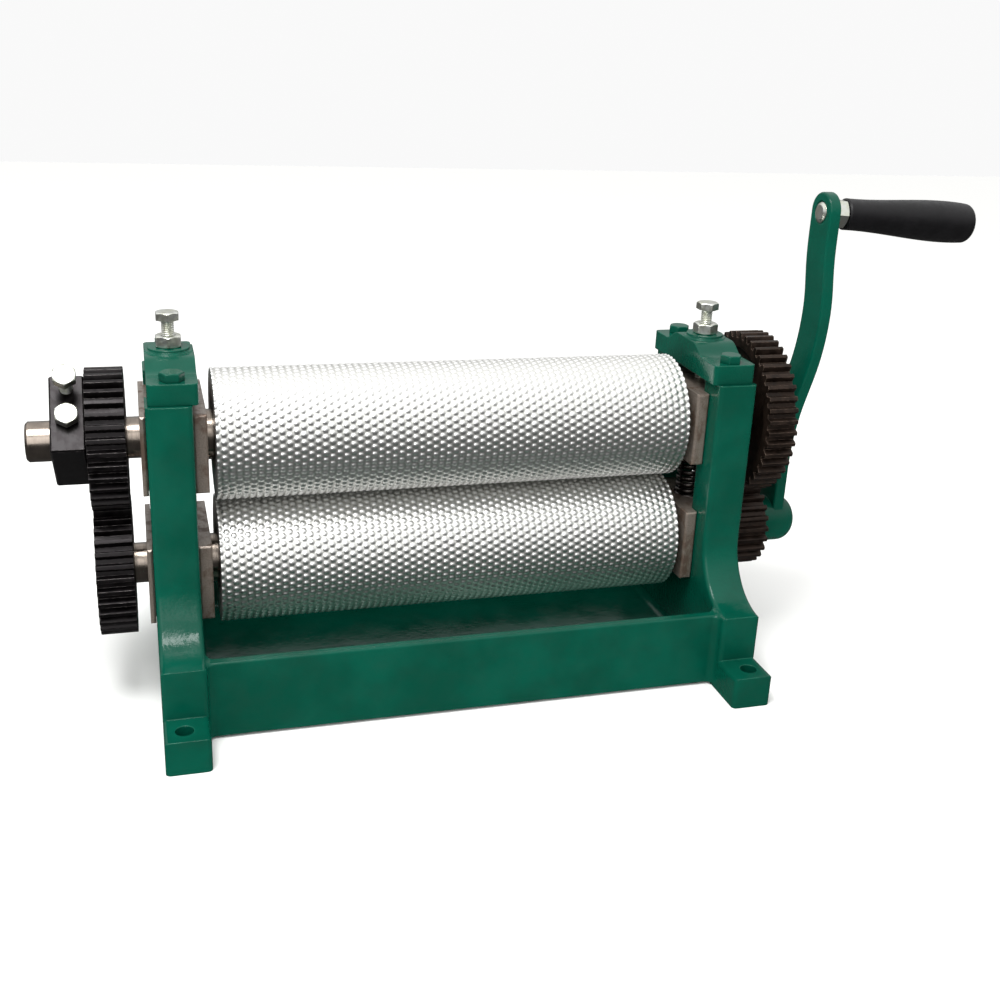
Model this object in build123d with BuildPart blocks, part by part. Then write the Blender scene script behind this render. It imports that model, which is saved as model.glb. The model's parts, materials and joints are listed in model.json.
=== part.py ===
"""Hand-cranked foundation roller mill: two embossed rolls geared together in a cast bench frame.

Row frame: X runs along the rolls with +X at the crank, Y runs from front (-Y) to back, Z is up.
The origin is the centre of the four foot holes, on the plane that the feet stand on. Millimetres.
"""

from build123d import *
import math
import os

os.makedirs("parts", exist_ok=True)

# ---- Fits --------------------------------------------------------------------------------------
RUN_FIT = 0.05  # radial clearance of a running or threaded fit
SLIDE_FIT = 0.15  # clearance of a bearing block in its slot, each side
END_FLOAT = 0.3  # clearance beside a turning piece
BOLT_PLAY = 0.5  # radial clearance of a bolt's through hole
DRILL_PAST = 2.0  # how far a blind hole runs past its screw

# ---- Rolls -------------------------------------------------------------------------------------
ROLL_D = 84.0  # over the raised cells
ROLL_LEN = 310.0
ROLL_GAP = 1.0  # nip at rest
ROLL_EDGE = 0.6  # chamfer of a roll's rim
LOWER_Z = 84.0  # height of the lower roll's axis
AXIS_DISTANCE = ROLL_D + ROLL_GAP
UPPER_Z = LOWER_Z + AXIS_DISTANCE

# ---- Shafts ------------------------------------------------------------------------------------
CORE_D = 32.0  # through the roll
JOURNAL_D = 26.0  # in the bushes
SEAT_D = 25.0  # under the gears
SPINDLE_D = 20.0  # lower shaft's extension, which the crank turns on
SHAFT_CHAMFER = 1.5
STUB_LEN = 15.7  # upper shaft's bare end beyond the phase dog
END_BOLT_D = 8.0
END_BOLT_DEPTH = 20.0

# ---- Bearing blocks and their slot -------------------------------------------------------------
ROLL_TO_BLOCK = 5.0
BLOCK_FLANGE = 8.35  # inner flange, towards the roll
OUTER_FLANGE = 3.35
BLOCK_H = 50.0
SLOT_HALF = 30.0
FLANGE_LAP = 10.0  # how far the flanges reach over the legs
BLOCK_EDGE = 1.2
BUSH_WALL = 4.0
SPRING_D = 20.0
SPRING_BORE = 14.0
SPRING_SEAT = 4.0
SPRING_SEAT_GAP = 1.0

# ---- Cast frame --------------------------------------------------------------------------------
FRAME_T = 27.0  # thickness of a side along X
LEG_W = 24.0  # one leg, beside the slot
LIFT_ROOM = 9.5  # from the upper block to the top of the legs
PEDESTAL_HALF = 95.0
PEDESTAL_TOP = 53.5
FOOT_REACH = 26.0  # beyond the pedestal
FOOT_H = 22.0
FOOT_HOLE_D = 11.0
FOOT_HOLE_REACH = 13.5  # from the pedestal to a hole
FOOT_HOLE_SHIFT = 1.5  # outwards from the middle of the side
FRAME_ROUND = 3.0
TROUGH_INSET = 9.0  # from the pedestal's face to the trough's wall
TROUGH_WALL = 7.0
TROUGH_FLOOR = 8.0
TROUGH_BOTTOM = 2.0
TROUGH_TOP = 52.3
TROUGH_CORNER = 5.0
TROUGH_LIP = 1.5

# ---- Caps, adjusting screws and their nuts -----------------------------------------------------
CAP_W = 29.4
CAP_SHIFT = 2.7  # inwards from the middle of the side
CAP_INSET = 3.0  # from the leg's face to the cap's end
CAP_PAD = 13.2
CAP_HUMP = 20.5
CAP_STEP_D = 28.6
CAP_STEP = 0.8
STEP_SUNK = 2.0  # how deep the step runs down into the hump
CAP_RING = 23.0
CAP_RING_D = 25.0
HUMP_HALF = 13.0
HUMP_FOOT = 30.0
TONGUE = 3.0
TONGUE_INSET = 2.0
CAP_BOLT_IN_LEG = 12.0  # from the slot to a cap bolt
CAP_BOLT_D = 8.0
CAP_BOLT_GRIP = 24.0  # length screwed into the leg
ADJUST_D = 8.0
ADJUST_SHOWING = 9.2  # thread between the lock nut and the head
ADJUST_HEX = (13.5, 5.2)  # across flats and height of the adjusting screw's head
ADJUST_NUT = (15.0, 7.2)  # and of its lock nut
HEX_8 = (13.0, 5.5)  # and of the head of an 8 mm bolt
HEX_TURNED = 0.12  # share of the flats turned off at a hexagon's corners

# ---- Gears -------------------------------------------------------------------------------------
TIMING_TEETH = 34
DRIVE_TEETH = 44
MODULE = AXIS_DISTANCE / TIMING_TEETH
PINION_TEETH = 2 * TIMING_TEETH - DRIVE_TEETH
ADDENDUM = 0.7 * MODULE  # stub teeth
DEDENDUM = 0.95 * MODULE
PRESSURE_ANGLE = 20.0
BACKLASH = 0.3  # taken off the tooth thickness at the pitch circle
FLANK_POINTS = 5
TIMING_W = 22.5
DRIVE_W = 21.0
BLOCK_TO_GEAR = 8.0
KEY_W = 8.0
KEY_LEN = 16.0
KEY_IN_SHAFT = 4.0
KEY_OUT = 3.0
KEY_SETBACK = 1.0  # from the gear's inner face
WEB_RECESS = 3.0
WEB_RIM = 6.0
WEB_HUB = 2.0  # wider than the washer
WASHER_D = 38.0
WASHER_T = 3.0
TIMING_RECESS = 9.0  # hides the lower timing gear's washer and bolt
RECESS_D = 44.0
RING_EDGE = 0.5  # chamfer of small turned rims

# ---- Phase dog on the upper shaft --------------------------------------------------------------
DOG_W = 20.0
DOG_TILT = 45.0  # direction of its screws above the horizontal, towards the front
DOG_LOW, DOG_HIGH = -22.0, 29.0  # across the screws
DOG_BACK, DOG_FACE = -19.0, 29.0  # along the screws
DOG_EDGE = 1.0
DOG_SCREW_D = 8.0
PIN_D = 8.0
PIN_ACROSS = 20.0
PIN_ALONG = 2.0
PIN_REACH = 13.5  # into the dog
PIN_IN_GEAR = 10.0
PIN_EDGE = 0.8
POCKET_HALF = 10.0
SET_SHOWING = 1.5
PHASE_SHOWING = 12.0
PHASE_BACK_SHOWING = 9.0

# ---- Crank and handle --------------------------------------------------------------------------
CRANK_RADIUS = 225.0
PINION_W = 23.5
BOSS_D = 34.0
BOSS_SPIGOT_D = 30.0
BOSS_LEN = 32.6
BOSS_ROUND = 12.0
BOSS_END_WALL = 5.0
SPINDLE_END_GAP = 1.0
CRANK_BUSH_D = 24.0
BUSH_TO_GROOVE = 2.0
DOWEL_D = 4.0
ARM_T = 8.5
ARM_W = 26.0
ARM_FROM_BOSS = 12.3  # boss shoulder to the arm's inner face
ARM_BOW = 14.5  # how far the arm stands out at the handle
ARM_CREST = 17.3  # and at its crest
ARM_TOP_ROUND = 14.0
ARM_EDGE = 1.5
RETAINER_D = 6.0
RETAINER_TIP_D = 4.0
RETAINER_STANDOFF = 0.6  # its shoulder over the spindle
RETAINER_SUNK = 1.0  # its outer end under the boss's surface
GROOVE_W = 5.0
GROOVE_DEPTH = 1.8
GROOVE_FROM_END = 6.5
TIP_OVER_GROOVE = 0.4
HANDLE_DROOP = 3.6  # degrees
RIVET_D = 12.0
RIVET_HEAD_D = 14.0
RIVET_HEAD = 2.0
SPOT_FACE = 0.7  # cut into both faces of the arm round the rivet
SPOT_WIDER = 1.0  # round the hexagon's corners and the rivet's head
SHOULDER = (18.0, 9.5)  # hexagon of the spindle: across flats and length
HANDLE_PIN_D = 10.0
GRIP_LEN = 101.0
GRIP_INNER_D = 21.6
GRIP_WAIST_D = 24.0
GRIP_WAIST = 35.0  # from the grip's inner end
GRIP_OUTER_D = 28.5
GRIP_SWELL = 12.0  # the widest place, from the outer end
GRIP_NOSE = 4.0  # length of its domed end
GRIP_EDGE = 1.0
GRIP_WALL_END = 14.0
SNAP_D = 11.6
SNAP_W = 2.0
SNAP_FROM_END = 8.0

# ---- Worked out --------------------------------------------------------------------------------
ROLL_END = ROLL_LEN / 2
BLOCK_IN = ROLL_END + ROLL_TO_BLOCK
FRAME_IN = BLOCK_IN + BLOCK_FLANGE + SLIDE_FIT
FRAME_OUT = FRAME_IN + FRAME_T
BLOCK_OUT = FRAME_OUT + SLIDE_FIT + OUTER_FLANGE
SIDE_X = (FRAME_IN + FRAME_OUT) / 2
CAP_X = SIDE_X - CAP_SHIFT
FOOT_HOLE_X = SIDE_X + FOOT_HOLE_SHIFT
FOOT_HOLE_Y = PEDESTAL_HALF + FOOT_HOLE_REACH
FOOT_HALF = PEDESTAL_HALF + FOOT_REACH
TROUGH_HALF = PEDESTAL_HALF - TROUGH_INSET
SLOT_FLOOR = LOWER_Z - BLOCK_H / 2
LEG_HALF = SLOT_HALF + LEG_W
FLANGE_HALF = SLOT_HALF + FLANGE_LAP
FLARE = PEDESTAL_HALF - LEG_HALF
UPPER_BLOCK_TOP = UPPER_Z + BLOCK_H / 2
FRAME_TOP = UPPER_BLOCK_TOP + LIFT_ROOM
CAP_HALF = LEG_HALF - CAP_INSET
CAP_BOLT_Y = SLOT_HALF + CAP_BOLT_IN_LEG
PAD_TOP = FRAME_TOP + CAP_PAD
HUMP_TOP = FRAME_TOP + CAP_HUMP
RING_TOP = FRAME_TOP + CAP_RING
ADJUST_HEAD = RING_TOP + ADJUST_NUT[1] + ADJUST_SHOWING
BUSH_D = JOURNAL_D + 2 * (RUN_FIT + BUSH_WALL)
GEAR_IN = BLOCK_OUT + BLOCK_TO_GEAR
TIMING_OUT = GEAR_IN + TIMING_W
DRIVE_OUT = GEAR_IN + DRIVE_W
TIMING_STOP = TIMING_OUT - TIMING_RECESS
DOG_IN = TIMING_OUT + END_FLOAT
DOG_OUT = DOG_IN + DOG_W
CORE_END = BLOCK_IN - END_FLOAT
END_BORE_D = END_BOLT_D + 2 * RUN_FIT
BOSS_IN = GEAR_IN + PINION_W
BOSS_OUT = BOSS_IN + BOSS_LEN
SPINDLE_END = BOSS_OUT - BOSS_END_WALL - SPINDLE_END_GAP
GROOVE_X = SPINDLE_END - GROOVE_FROM_END
CRANK_BUSH_LEN = GROOVE_X - GROOVE_W / 2 - BUSH_TO_GROOVE - GEAR_IN
ARM_X = BOSS_IN + ARM_FROM_BOSS + ARM_T / 2
ARM_TOP_X = ARM_X + ARM_BOW
HANDLE_Z = LOWER_Z + CRANK_RADIUS


def section(x, z=0.0, tilt=0.0):
    """Plane square to X at x: its own x runs back along Y and its y runs up, turned by tilt."""
    turn = math.radians(tilt)
    return Plane(origin=(x, 0, z), x_dir=(0, math.cos(turn), math.sin(turn)), z_dir=(1, 0, 0))


def hexagon(plane, across_flats, height):
    """Hexagon with its outer corners turned off, standing on a plane."""
    corner = across_flats / math.sqrt(3)
    turned = HEX_TURNED * across_flats
    with BuildPart() as piece:
        with BuildSketch(plane):
            RegularPolygon(across_flats / 2, 6, major_radius=False)
        extrude(amount=height)
        with BuildSketch(plane * Plane.XZ):
            with BuildLine():
                Polyline(
                    (0, 0),
                    (corner, 0),
                    (corner, height - turned / 2),
                    (corner - turned, height),
                    (0, height),
                    close=True,
                )
            make_face()
        revolve(axis=Axis(plane.origin, plane.z_dir), mode=Mode.INTERSECT)
    return piece.part


def bolt(plane, diameter, length, hex_size):
    """Hexagon bolt: its head stands on the plane and its shank runs back through it."""
    head = hexagon(plane, *hex_size)
    with BuildPart() as piece:
        add(head)
        with BuildSketch(plane):
            Circle(diameter / 2)
        extrude(amount=-length)
        tip = piece.faces().sort_by(Axis(plane.origin, plane.z_dir))[0]
        chamfer(tip.edges(), diameter / 12)
    return piece.part


def tooth_face(teeth):
    """One spur tooth on the local x axis: involute flanks from a foot inside the root circle."""
    pitch_r = MODULE * teeth / 2
    base_r = pitch_r * math.cos(math.radians(PRESSURE_ANGLE))
    tip_r = pitch_r + ADDENDUM
    root_r = pitch_r - DEDENDUM
    half_angle = (math.pi * MODULE / 2 - BACKLASH / 2) / (2 * pitch_r)

    def roll_angle(radius):
        return math.sqrt(max((radius / base_r) ** 2 - 1, 0.0))

    def flank(radius):
        """Half the tooth's angle at a radius: the pitch value corrected by the involute function."""
        at_pitch = roll_angle(pitch_r) - math.atan(roll_angle(pitch_r))
        here = roll_angle(radius) - math.atan(roll_angle(radius))
        return half_angle + at_pitch - here

    def point(radius, angle):
        return (radius * math.cos(angle), radius * math.sin(angle))

    start_r = max(base_r, root_r)
    radii = [start_r + (tip_r - start_r) * k / (FLANK_POINTS - 1) for k in range(FLANK_POINTS)]
    upper = [point(radius, flank(radius)) for radius in radii]
    lower = [(x, -y) for x, y in upper]
    foot = point(root_r - MODULE / 2, flank(start_r))
    with BuildSketch() as tooth:
        with BuildLine():
            Line(foot, upper[0])
            Spline(*upper)
            ThreePointArc(upper[-1], (tip_r, 0), lower[-1])
            Spline(*reversed(lower))
            Line(lower[0], (foot[0], -foot[1]))
            Line((foot[0], -foot[1]), foot)
        make_face()
    return tooth.sketch


def gear_blank(teeth, start, width, z, first_tooth, bore_d):
    """Spur gear about an axis along X, with one tooth centred first_tooth degrees from the back."""
    tooth = tooth_face(teeth)
    root_r = MODULE * teeth / 2 - DEDENDUM
    with BuildPart() as blank:
        with BuildSketch(section(start, z)):
            Circle(root_r)
            with PolarLocations(0, teeth, start_angle=first_tooth):
                add(tooth)
            Circle(bore_d / 2, mode=Mode.SUBTRACT)
        extrude(amount=width)
    return blank.part


def keyway(z, start, length):
    """Box of a shaft key, lying on top of a gear seat."""
    with BuildPart() as box:
        with BuildSketch(section(start, z)):
            with Locations((0, SEAT_D / 2 + (KEY_OUT - KEY_IN_SHAFT) / 2)):
                Rectangle(KEY_W, KEY_IN_SHAFT + KEY_OUT)
        extrude(amount=length)
    return box.part


# ---- Cast frame: two slotted sides joined by a drip trough --------------------------------------
with BuildPart() as cast_frame:
    for side_x in (-FRAME_OUT, FRAME_IN):
        with BuildSketch(section(side_x)):
            with BuildLine():
                Polyline(
                    (0, SLOT_FLOOR),
                    (0, 0),
                    (FOOT_HALF, 0),
                    (FOOT_HALF, FOOT_H),
                    (PEDESTAL_HALF, FOOT_H),
                    (PEDESTAL_HALF, PEDESTAL_TOP),
                )
                RadiusArc((PEDESTAL_HALF, PEDESTAL_TOP), (LEG_HALF, PEDESTAL_TOP + FLARE), FLARE)
                Polyline(
                    (LEG_HALF, PEDESTAL_TOP + FLARE),
                    (LEG_HALF, FRAME_TOP),
                    (SLOT_HALF, FRAME_TOP),
                    (SLOT_HALF, SLOT_FLOOR),
                    (0, SLOT_FLOOR),
                )
            make_face()
            mirror(about=Plane.YZ)
        extrude(amount=FRAME_T)
    # Soft cast edges all round the outside of each side, but not where the blocks slide.
    outline = [
        edge
        for edge in cast_frame.edges()
        if abs(edge.center().Y) > LEG_HALF - 0.1
        and edge.center().Z > 1.0
        and edge.center().Z < FRAME_TOP - 0.1
        and edge.bounding_box().size.X < 0.1
    ]
    fillet(outline, FRAME_ROUND)
    with BuildSketch(section(-FRAME_IN - 1)) as trough:
        with Locations((0, (TROUGH_TOP + TROUGH_BOTTOM) / 2)):
            Rectangle(2 * TROUGH_HALF, TROUGH_TOP - TROUGH_BOTTOM)
        with Locations((0, (TROUGH_TOP + TROUGH_BOTTOM) / 2 + TROUGH_FLOOR)):
            Rectangle(2 * (TROUGH_HALF - TROUGH_WALL), TROUGH_TOP - TROUGH_BOTTOM, mode=Mode.SUBTRACT)
        fillet(trough.vertices().group_by(Axis.Y)[1], TROUGH_CORNER)
        fillet(trough.vertices().group_by(Axis.Y)[-1], TROUGH_LIP)
    extrude(amount=2 * FRAME_IN + 2)
    corners = [
        edge
        for edge in cast_frame.edges().filter_by(Axis.Z)
        if abs(abs(edge.center().X) - FRAME_IN) < 0.1
        and TROUGH_HALF - TROUGH_WALL - 0.1 < abs(edge.center().Y) < TROUGH_HALF + 0.1
    ]
    fillet(corners, TROUGH_CORNER)
    with Locations(*[(sx * FOOT_HOLE_X, sy * FOOT_HOLE_Y, FOOT_H) for sx in (-1, 1) for sy in (-1, 1)]):
        Hole(FOOT_HOLE_D / 2, depth=FOOT_H)
    with Locations(*[(sx * CAP_X, sy * CAP_BOLT_Y, FRAME_TOP) for sx in (-1, 1) for sy in (-1, 1)]):
        Hole(CAP_BOLT_D / 2 + RUN_FIT, depth=CAP_BOLT_GRIP + DRILL_PAST)
cast_frame.part.label = "cast_frame"
export_step(cast_frame.part, "parts/cast_frame.step")

# ---- Caps, their bolts, the adjusting screws and the lock nuts ----------------------------------
for side, sign in (("left", -1), ("right", 1)):
    x = sign * CAP_X
    with BuildPart() as cap:
        with BuildSketch(section(x - CAP_W / 2)):
            with BuildLine():
                Polyline(
                    (0, FRAME_TOP),
                    (CAP_HALF, FRAME_TOP),
                    (CAP_HALF, PAD_TOP),
                    (HUMP_FOOT, PAD_TOP),
                )
                Spline(
                    (HUMP_FOOT, PAD_TOP),
                    (HUMP_HALF, HUMP_TOP),
                    tangents=((-1, 0.12), (-1, 0.12)),
                )
                Polyline((HUMP_HALF, HUMP_TOP), (0, HUMP_TOP), (0, FRAME_TOP))
            make_face()
            mirror(about=Plane.YZ)
        extrude(amount=CAP_W)
        fillet(cap.edges().filter_by(Axis.Z), FRAME_ROUND)
        with BuildSketch(Plane.XY.offset(HUMP_TOP - STEP_SUNK)):
            with Locations((x, 0)):
                Circle(CAP_STEP_D / 2)
        extrude(amount=STEP_SUNK + CAP_STEP)
        with BuildSketch(Plane.XY.offset(HUMP_TOP)):
            with Locations((x, 0)):
                Circle(CAP_RING_D / 2)
        extrude(amount=RING_TOP - HUMP_TOP)
        with BuildSketch(Plane.XY.offset(FRAME_TOP - TONGUE)):
            with Locations((sign * SIDE_X, 0)):
                Rectangle(FRAME_T - 2 * TONGUE_INSET, 2 * (SLOT_HALF - SLIDE_FIT))
        extrude(amount=TONGUE)
        with Locations((x, 0, RING_TOP)):
            Hole(ADJUST_D / 2 + RUN_FIT, depth=CAP_RING + TONGUE)
        with Locations((x, -CAP_BOLT_Y, PAD_TOP), (x, CAP_BOLT_Y, PAD_TOP)):
            Hole(CAP_BOLT_D / 2 + BOLT_PLAY, depth=CAP_PAD)
    cap.part.label = f"{side}_cap"
    export_step(cap.part, f"parts/{side}_cap.step")

    pair = [
        bolt(
            Plane(origin=(x, y, PAD_TOP), x_dir=(1, 0, 0), z_dir=(0, 0, 1)),
            CAP_BOLT_D,
            CAP_PAD + CAP_BOLT_GRIP,
            HEX_8,
        )
        for y in (-CAP_BOLT_Y, CAP_BOLT_Y)
    ]
    with BuildPart() as cap_bolts:
        add(pair)
    cap_bolts.part.label = f"{side}_cap_bolts"
    export_step(cap_bolts.part, f"parts/{side}_cap_bolts.step")

    screw = bolt(
        Plane(origin=(x, 0, ADJUST_HEAD), x_dir=(0, 1, 0), z_dir=(0, 0, 1)),
        ADJUST_D,
        ADJUST_HEAD - UPPER_BLOCK_TOP,
        ADJUST_HEX,
    )
    with BuildPart() as adjusting_screw:
        add(screw)
    adjusting_screw.part.label = f"{side}_adjusting_screw"
    export_step(adjusting_screw.part, f"parts/{side}_adjusting_screw.step")

    nut = hexagon(Plane(origin=(x, 0, RING_TOP), x_dir=(1, 0, 0), z_dir=(0, 0, 1)), *ADJUST_NUT)
    with BuildPart() as lock_nut:
        add(nut)
        with Locations((x, 0, RING_TOP + ADJUST_NUT[1])):
            Hole(ADJUST_D / 2 + RUN_FIT, depth=ADJUST_NUT[1])
    lock_nut.part.label = f"{side}_lock_nut"
    export_step(lock_nut.part, f"parts/{side}_lock_nut.step")

    # Bearing blocks: flanged slides that straddle the side of the frame, each with its bush.
    for level, axis_z in (("lower", LOWER_Z), ("upper", UPPER_Z)):
        name = f"{level}_{side}_block"
        neck_half = SLOT_HALF - SLIDE_FIT
        with BuildPart() as block:
            with BuildSketch(Plane.XY.offset(axis_z - BLOCK_H / 2)):
                with Locations((sign * (BLOCK_IN + BLOCK_OUT) / 2, 0)):
                    Rectangle(BLOCK_OUT - BLOCK_IN, 2 * neck_half)
                with Locations((sign * (BLOCK_IN + BLOCK_FLANGE / 2), 0)):
                    Rectangle(BLOCK_FLANGE, 2 * FLANGE_HALF)
                with Locations((sign * (BLOCK_OUT - OUTER_FLANGE / 2), 0)):
                    Rectangle(OUTER_FLANGE, 2 * FLANGE_HALF)
            extrude(amount=BLOCK_H)
            ends = [edge for edge in block.edges() if abs(abs(edge.center().Y) - FLANGE_HALF) < 0.01]
            chamfer(ends, min(BLOCK_EDGE, OUTER_FLANGE / 3))
            with BuildSketch(section(sign * SIDE_X, axis_z)):
                Circle(BUSH_D / 2)
            extrude(amount=FRAME_T, both=True, mode=Mode.SUBTRACT)
            seat_z = axis_z + BLOCK_H / 2 if level == "lower" else axis_z - BLOCK_H / 2 + SPRING_SEAT
            with Locations((x, 0, seat_z)):
                Hole(SPRING_D / 2 + SPRING_SEAT_GAP, depth=SPRING_SEAT)
        block.part.label = name
        export_step(block.part, f"parts/{name}.step")

        name = f"{level}_{side}_bush"
        start = min(sign * BLOCK_IN, sign * BLOCK_OUT)
        with BuildPart() as bush:
            with BuildSketch(section(start, axis_z)):
                Circle(BUSH_D / 2)
                Circle(JOURNAL_D / 2 + RUN_FIT, mode=Mode.SUBTRACT)
            extrude(amount=BLOCK_OUT - BLOCK_IN)
            rims = bush.edges().filter_by(GeomType.CIRCLE)
            chamfer(rims.filter_by(lambda rim: rim.radius > JOURNAL_D / 2 + BUSH_WALL / 2), RING_EDGE)
        bush.part.label = name
        export_step(bush.part, f"parts/{name}.step")

    with BuildPart() as spring:
        with BuildSketch(Plane.XY.offset(LOWER_Z + BLOCK_H / 2 - SPRING_SEAT)):
            with Locations((x, 0)):
                Circle(SPRING_D / 2)
                Circle(SPRING_BORE / 2, mode=Mode.SUBTRACT)
        extrude(amount=AXIS_DISTANCE - BLOCK_H + 2 * SPRING_SEAT)
    spring.part.label = f"{side}_spring"
    export_step(spring.part, f"parts/{side}_spring.step")


def shaft_solid(steps, z):
    """Turned shaft about an axis along X, from (diameter, end) steps that start at the first end."""
    with BuildPart() as piece:
        with BuildSketch(Plane.XZ):
            with BuildLine():
                outline = [(steps[0][1], z)]
                for (_, start), (diameter, end) in zip(steps, steps[1:]):
                    outline += [(start, z + diameter / 2), (end, z + diameter / 2)]
                outline.append((steps[-1][1], z))
                Polyline(*outline, close=True)
            make_face()
        revolve(axis=Axis((0, 0, z), (1, 0, 0)))
        ends = [piece.faces().sort_by(Axis.X)[0], piece.faces().sort_by(Axis.X)[-1]]
        chamfer(ends[0].edges() + ends[1].edges(), SHAFT_CHAMFER)
    return piece.part


# ---- Rolls and their shafts ---------------------------------------------------------------------
for level, axis_z in (("lower", LOWER_Z), ("upper", UPPER_Z)):
    with BuildPart() as roll:
        with BuildSketch(section(-ROLL_END, axis_z)):
            Circle(ROLL_D / 2)
            Circle(CORE_D / 2, mode=Mode.SUBTRACT)
        extrude(amount=ROLL_LEN)
        rims = roll.edges().filter_by(GeomType.CIRCLE).filter_by(lambda rim: rim.radius > CORE_D)
        chamfer(rims, ROLL_EDGE)
    roll.part.label = f"{level}_roll"
    export_step(roll.part, f"parts/{level}_roll.step")

upper_steps = [
    (0, -DOG_OUT - STUB_LEN),
    (SEAT_D, -GEAR_IN),
    (JOURNAL_D, -CORE_END),
    (CORE_D, CORE_END),
    (JOURNAL_D, GEAR_IN),
    (SEAT_D, DRIVE_OUT - END_FLOAT),
]
upper_turned = shaft_solid(upper_steps, UPPER_Z)
drive_key_box = keyway(UPPER_Z, GEAR_IN + KEY_SETBACK, KEY_LEN)
with BuildPart() as upper_shaft:
    add(upper_turned)
    add(drive_key_box, mode=Mode.SUBTRACT)
    with BuildSketch(section(DRIVE_OUT - END_BOLT_DEPTH, UPPER_Z)):
        Circle(END_BORE_D / 2)
    extrude(amount=END_BOLT_DEPTH, mode=Mode.SUBTRACT)
upper_shaft.part.label = "upper_shaft"
export_step(upper_shaft.part, "parts/upper_shaft.step")

lower_steps = [
    (0, END_FLOAT - TIMING_STOP),
    (SEAT_D, -GEAR_IN),
    (JOURNAL_D, -CORE_END),
    (CORE_D, CORE_END),
    (JOURNAL_D, GEAR_IN - END_FLOAT),
    (SPINDLE_D, GROOVE_X - GROOVE_W / 2),
    (SPINDLE_D - 2 * GROOVE_DEPTH, GROOVE_X + GROOVE_W / 2),
    (SPINDLE_D, SPINDLE_END),
]
lower_turned = shaft_solid(lower_steps, LOWER_Z)
timing_key_len = min(KEY_LEN, TIMING_STOP - GEAR_IN - 2 * KEY_SETBACK)
timing_key_box = keyway(LOWER_Z, -GEAR_IN - KEY_SETBACK - timing_key_len, timing_key_len)
with BuildPart() as lower_shaft:
    add(lower_turned)
    add(timing_key_box, mode=Mode.SUBTRACT)
    with BuildSketch(section(-TIMING_STOP, LOWER_Z)):
        Circle(END_BORE_D / 2)
    extrude(amount=END_BOLT_DEPTH, mode=Mode.SUBTRACT)
lower_shaft.part.label = "lower_shaft"
export_step(lower_shaft.part, "parts/lower_shaft.step")

# ---- Timing gears at the left, drive gear and pinion at the right -------------------------------
space_up_timing = 90 + 180 / TIMING_TEETH
space_up_pinion = 90 + 180 / PINION_TEETH

upper_timing_blank = gear_blank(TIMING_TEETH, -TIMING_OUT, TIMING_W, UPPER_Z, -90, SEAT_D + 2 * RUN_FIT)
with BuildPart() as upper_timing_gear:
    add(upper_timing_blank)
    with BuildSketch(section(-TIMING_OUT, UPPER_Z, 90 - DOG_TILT)):
        with Locations((PIN_ACROSS, PIN_ALONG)):
            Circle(PIN_D / 2)
    extrude(amount=PIN_IN_GEAR, mode=Mode.SUBTRACT)
upper_timing_gear.part.label = "upper_timing_gear"
export_step(upper_timing_gear.part, "parts/upper_timing_gear.step")

lower_timing_blank = gear_blank(TIMING_TEETH, -TIMING_OUT, TIMING_W, LOWER_Z, space_up_timing, SEAT_D)
lower_keyway = keyway(LOWER_Z, -TIMING_OUT, TIMING_W)
with BuildPart() as lower_timing_gear:
    add(lower_timing_blank)
    add(lower_keyway, mode=Mode.SUBTRACT)
    with BuildSketch(section(-TIMING_OUT, LOWER_Z)):
        Circle(RECESS_D / 2)
    extrude(amount=TIMING_RECESS, mode=Mode.SUBTRACT)
lower_timing_gear.part.label = "lower_timing_gear"
export_step(lower_timing_gear.part, "parts/lower_timing_gear.step")

drive_blank = gear_blank(DRIVE_TEETH, GEAR_IN, DRIVE_W, UPPER_Z, -90, SEAT_D)
drive_keyway = keyway(UPPER_Z, GEAR_IN, DRIVE_W)
web_out = MODULE * DRIVE_TEETH / 2 - DEDENDUM - WEB_RIM
with BuildPart() as drive_gear:
    add(drive_blank)
    add(drive_keyway, mode=Mode.SUBTRACT)
    for face_x, depth in ((GEAR_IN, WEB_RECESS), (DRIVE_OUT, -WEB_RECESS)):
        with BuildSketch(section(face_x, UPPER_Z)):
            Circle(web_out)
            Circle(WASHER_D / 2 + WEB_HUB, mode=Mode.SUBTRACT)
        extrude(amount=depth, mode=Mode.SUBTRACT)
drive_gear.part.label = "drive_gear"
export_step(drive_gear.part, "parts/drive_gear.step")

with BuildPart() as drive_gear_key:
    add(drive_key_box)
drive_gear_key.part.label = "drive_gear_key"
export_step(drive_gear_key.part, "parts/drive_gear_key.step")

with BuildPart() as timing_gear_key:
    add(timing_key_box)
timing_gear_key.part.label = "timing_gear_key"
export_step(timing_gear_key.part, "parts/timing_gear_key.step")

for gear, sign, stop, axis_z in (("drive", 1, DRIVE_OUT, UPPER_Z), ("timing", -1, TIMING_STOP, LOWER_Z)):
    head_x = sign * (stop + WASHER_T)
    outwards = Plane(origin=(head_x, 0, axis_z), x_dir=(0, 1, 0), z_dir=(sign, 0, 0))
    washer_start = min(sign * stop, head_x)
    with BuildPart() as end_washer:
        with BuildSketch(section(washer_start, axis_z)):
            Circle(WASHER_D / 2)
            Circle(END_BOLT_D / 2 + BOLT_PLAY, mode=Mode.SUBTRACT)
        extrude(amount=WASHER_T)
        rims = end_washer.edges().filter_by(GeomType.CIRCLE).filter_by(lambda rim: rim.radius > WASHER_D / 3)
        chamfer(rims, RING_EDGE)
    end_washer.part.label = f"{gear}_gear_washer"
    export_step(end_washer.part, f"parts/{gear}_gear_washer.step")

    retainer = bolt(outwards, END_BOLT_D, WASHER_T + END_BOLT_DEPTH - DRILL_PAST, HEX_8)
    with BuildPart() as end_bolt:
        add(retainer)
    end_bolt.part.label = f"{gear}_gear_bolt"
    export_step(end_bolt.part, f"parts/{gear}_gear_bolt.step")

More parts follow.
